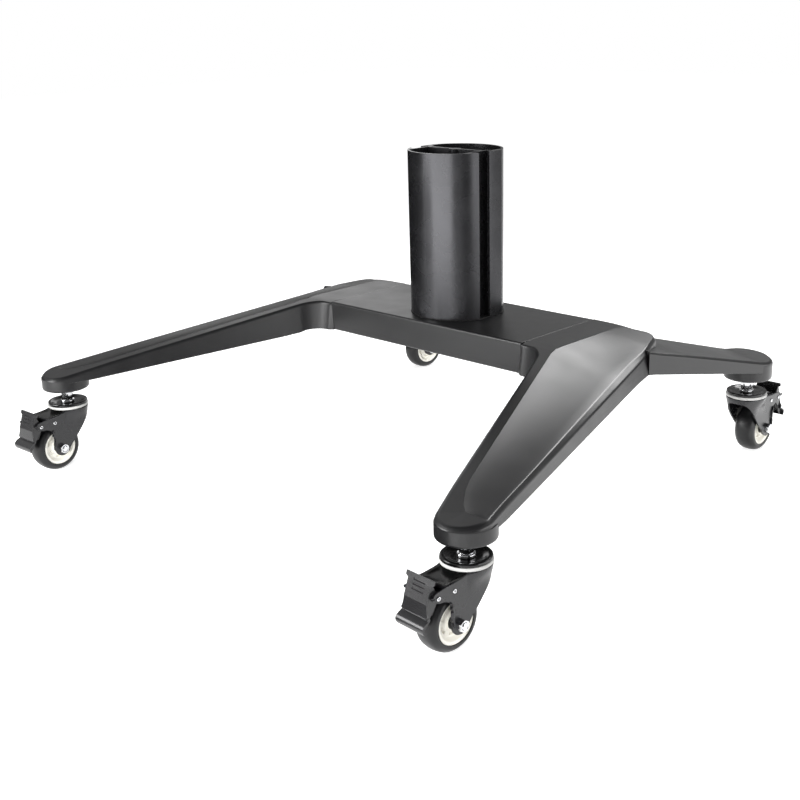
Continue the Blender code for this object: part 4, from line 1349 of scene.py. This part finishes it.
@dataclass
class Studio:
    """Floor, backdrop, lamps and the camera at the photograph's place."""

    eye: tuple[float, float, float] = (1184.5, -1306.9, 660.8)
    yaw: float = 45.157
    pitch: float = 18.274
    roll: float = -1.665
    lens: float = 53.317
    sensor: float = 36.0
    floor_half: float = 9000.0
    glow: float = 0.45
    seen_glow: float = 0.7
    ambient: float = 0.4
    card_lift: float = 2.0
    sky: tuple = (
        (0.0, 0.36), (0.1, 0.36), (0.24, 0.25), (0.3, 0.25),
        (0.5, 0.6), (0.7, 0.6), (0.82, 0.03), (1.0, 0.02),
    )

    def camera(self) -> None:
        """Stands the camera where the photograph was taken from.

        Its axes come from three turns: yaw about the vertical, pitch below the horizon and
        roll about the line of sight.
        """
        yaw, pitch, roll = (math.radians(v) for v in (self.yaw, self.pitch, self.roll))
        ahead = Vector((-math.sin(yaw), math.cos(yaw), 0.0))
        level = Vector((math.cos(yaw), math.sin(yaw), 0.0))
        up = Vector((0.0, 0.0, 1.0))
        sight = ahead * math.cos(pitch) - up * math.sin(pitch)
        raised = up * math.cos(pitch) + ahead * math.sin(pitch)
        right = level * math.cos(roll) + raised * math.sin(roll)
        top = raised * math.cos(roll) - level * math.sin(roll)
        turn = Matrix((right, top, -sight)).transposed().to_4x4()
        data = bpy.data.cameras.new("photo camera")
        data.sensor_width = self.sensor
        data.lens = self.lens
        data.clip_start = 0.05
        data.clip_end = 60.0
        camera = bpy.data.objects.new("photo camera", data)
        bpy.context.scene.collection.objects.link(camera)
        x, y, z = self.eye
        camera.matrix_world = Matrix.Translation((x * MM, (y + COLUMN_AXIS_Y) * MM, z * MM)) @ turn
        bpy.context.scene.camera = camera

    def floor(self) -> None:
        """Lays a pale floor that is white to the eye and in reflections but keeps shadows."""
        surface = Surface()
        half = self.floor_half
        corners = [(-half, -half, 0.0), (half, -half, 0.0), (half, half, 0.0), (-half, half, 0.0)]
        surface.cap(np.array(corners))
        floor = bpy.data.objects.new("studio floor", surface.mesh("studio floor"))
        bpy.context.scene.collection.objects.link(floor)
        made = bpy.data.materials.new("matt white paper sweep")
        tree = cleared_tree(made)
        path = add_node(tree, "ShaderNodeLightPath")
        seen = add_node(
            tree,
            "ShaderNodeMath",
            {0: path.outputs["Is Camera Ray"], 1: path.outputs["Is Glossy Ray"]},
            operation="MAXIMUM",
        )
        paper = add_node(tree, "ShaderNodeBsdfDiffuse", {"Color": linear("#e6e6e6")})
        strength = add_node(
            tree,
            "ShaderNodeMapRange",
            {"Value": path.outputs["Is Camera Ray"], "To Min": self.glow, "To Max": self.seen_glow},
        )
        glow = add_node(
            tree, "ShaderNodeEmission", {"Color": linear("#ffffff"), "Strength": strength.outputs[0]}
        )
        both = add_node(tree, "ShaderNodeAddShader", {0: paper.outputs[0], 1: glow.outputs[0]})
        mix = add_node(
            tree, "ShaderNodeMixShader", {0: seen.outputs[0], 1: paper.outputs[0], 2: both.outputs[0]}
        )
        add_node(tree, "ShaderNodeOutputMaterial", {"Surface": mix.outputs[0]})
        floor.data.materials.append(made)

    def world(self) -> None:
        """Surrounds the stage with white for the eye and a softer grey for the light."""
        world = bpy.data.worlds.new("studio")
        bpy.context.scene.world = world
        tree = cleared_tree(world)
        path = add_node(tree, "ShaderNodeLightPath")
        ahead = add_node(tree, "ShaderNodeTexCoord").outputs["Generated"]
        rise = add_node(tree, "ShaderNodeSeparateXYZ", {"Vector": ahead}).outputs["Z"]
        ramp = add_node(tree, "ShaderNodeValToRGB", {"Fac": rise})
        stops = ramp.color_ramp.elements
        for place, level in self.sky[2:]:
            stops.new(place)
        for stop, (place, level) in zip(stops, self.sky):
            stop.position = place
            stop.color = (level, level, level, 1.0)
        grey = add_node(
            tree,
            "ShaderNodeMapRange",
            {"Value": path.outputs["Is Glossy Ray"], "To Min": self.ambient, "To Max": ramp.outputs["Color"]},
        )
        seen = add_node(
            tree,
            "ShaderNodeMath",
            {0: path.outputs["Is Camera Ray"], 1: path.outputs["Is Transmission Ray"]},
            operation="MAXIMUM",
        )
        strength = add_node(
            tree, "ShaderNodeMapRange", {"Value": seen.outputs[0], "To Min": grey.outputs[0], "To Max": 1.0}
        )
        glow = add_node(
            tree, "ShaderNodeBackground", {"Color": linear("#ffffff"), "Strength": strength.outputs[0]}
        )
        add_node(tree, "ShaderNodeOutputWorld", {"Surface": glow.outputs[0]})

    def card(self, name: str, corners: list[tuple], level: float) -> None:
        """Stands a flat card that only reflections see, bright or black.

        Args:
            name: The card's name.
            corners: Its corners in order, in millimetres.
            level: How bright it is, white being one.
        """
        surface = Surface()
        surface.cap(np.array(corners))
        made = bpy.data.objects.new(name, surface.mesh(name))
        bpy.context.scene.collection.objects.link(made)
        paint = bpy.data.materials.new(name)
        tree = cleared_tree(paint)
        glow = add_node(tree, "ShaderNodeEmission", {"Color": linear("#ffffff"), "Strength": level})
        add_node(tree, "ShaderNodeOutputMaterial", {"Surface": glow.outputs[0]})
        made.data.materials.append(paint)
        made.visible_camera = False
        made.visible_diffuse = False
        made.visible_shadow = False
        made.visible_transmission = False
        made.visible_volume_scatter = False

    def lamp(
        self, name: str, place: tuple, aim: tuple, size: tuple, power: float, mirrored: bool
    ) -> None:
        """Hangs one soft rectangular lamp.

        Args:
            name: The lamp's name.
            place: Its middle, in millimetres.
            aim: The point that it faces.
            size: Its width and height.
            power: Its power in watts.
            mirrored: Whether glossy surfaces show it.
        """
        data = bpy.data.lights.new(name, "AREA")
        data.shape = "RECTANGLE"
        data.size, data.size_y = size[0] * MM, size[1] * MM
        data.energy = power
        made = bpy.data.objects.new(name, data)
        bpy.context.scene.collection.objects.link(made)
        start = Vector(place) * MM
        made.location = start
        made.visible_glossy = mirrored
        made.visible_camera = False
        made.rotation_euler = (Vector(aim) * MM - start).to_track_quat("-Z", "Y").to_euler()

    def upright(self, path: list[tuple], low: float, high: float) -> list[tuple]:
        """Corners of a card that stands along a plan path between two heights."""
        return [(x, y, low) for x, y in path] + [(x, y, high) for x, y in reversed(path)]

    def laid(self, outline: list[tuple]) -> list[tuple]:
        """Corners of a card that lies just above the floor."""
        return [(x, y, self.card_lift) for x, y in outline]

    def lamps(self) -> None:
        """Hangs the lamps. Those over and before the base only shed light, so no top mirrors them."""
        for name, place, aim, size, power, mirrored in (
            ("top softbox", (160.0, 1275.0, 1399.0), (300.0, -56.0, 195.0), (920.0, 700.0), 22.0, True),
            ("overhead softbox", (0.0, -100.0, 2400.0), (0.0, 0.0, 0.0), (2200.0, 2200.0), 18.0, False),
            ("front softbox", (150.0, -1510.0, 500.0), (0.0, 0.0, 370.0), (1700.0, 800.0), 42.0, False),
            ("right softbox", (1500.0, 520.0, 350.0), (0.0, 200.0, 250.0), (1400.0, 680.0), 9.0, True),
        ):
            self.lamp(name, place, aim, size, power, mirrored)

    def cards(self) -> None:
        """Puts up the cards. Each bright one gives a sheen the photo shows, each black one a dark face."""
        for name, corners, level in (
            ("bright card right edge", self.upright([(1500, -380), (1500, -180)], 120, 480), 7.0),
            ("bright card before pedal", self.upright([(-980, -1089), (-530, -1649)], 300, 1100), 11.0),
            (
                "bright floor card front",
                self.laid([(-524, -1298), (-2248, -5563), (2817, -5298), (657, -1236)]),
                9.5,
            ),
            ("bright card left", self.upright([(-2150, 2380), (-2930, 1274)], 680, 1900), 1.5),
            ("bright floor card right", self.laid([(400, 230), (1500, 230), (1500, 1200), (400, 1200)]), 2.3),
            (
                "black floor card inside",
                self.laid([(-200, -906), (300, -906), (330, -556), (330, -56), (120, -56), (-60, -306)]),
                0.0,
            ),
            ("black card right front", self.upright([(1052, -782), (1290, -336)], 0, 700), 0.0),
            (
                "black floor card left",
                self.laid(
                    [(-420, 490), (-3000, 3300), (-4600, 3300), (-4600, -3300), (-2600, -3300), (-1000, -560)]
                ),
                0.0,
            ),
            ("black card left", self.upright([(-2780, 2970), (-4000, 190), (-4200, -2500)], 0, 640), 0.0),
        ):
            self.card(name, corners, level)

    def build(self) -> None:
        """Sets up the camera, the floor, the world, the lamps and the cards."""
        bpy.context.scene.view_settings.view_transform = "Standard"
        self.camera()
        self.floor()
        self.world()
        self.lamps()
        self.cards()


def main() -> None:
    """Builds every sub-assembly in order, then the stage."""
    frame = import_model()
    looks = {
        "leg_": POWDER_COAT,
        "crossbar": POWDER_COAT,
        "column": ANODISED,
        "column_gasket": RUBBER,
        "column_bolt": BEARING,
        "leg_bolt": BEARING,
        "threaded_stem": PLATING,
        "top_disc": ENAMEL,
        "dust_ring": ACETAL,
        "ball_race": BEARING,
        "fork_": ELECTROCOAT,
        "fork_rivet": PLATING,
        "axle_": PLATING,
        "pedal_rivet": PLATING,
        "tyre": POLYURETHANE,
        "wheel_hub": NYLON,
        "brake_pedal": PEDAL_ENAMEL,
        "brake_shoe": PAD_RUBBER,
    }
    for name, node in frame["nodes"].items():
        best = max((key for key in looks if name.startswith(key)), key=len)
        material = looks[best].material()
        for slot in node.material_slots:
            slot.material = material
        LOG.info("%s: %s", name, material.name)
    Leg(COLUMN_AXIS_Y).build()
    Crossbar(COLUMN_AXIS_Y).build()
    Column(COLUMN_AXIS_Y).build()
    for where, (x, y), side, trail in (
        (Corner.FRONT_LEFT, FRONT_STEM, -1.0, -87.0),
        (Corner.FRONT_RIGHT, FRONT_STEM, 1.0, -93.0),
        (Corner.REAR_LEFT, REAR_STEM, -1.0, 85.0),
        (Corner.REAR_RIGHT, REAR_STEM, 1.0, 91.0),
    ):
        Caster(where, (side * x, y), trail, COLUMN_AXIS_Y).build()
    Studio().build()


if __name__ == "__main__":
    logging.basicConfig(level=logging.INFO, format="%(name)s %(message)s")
    main()
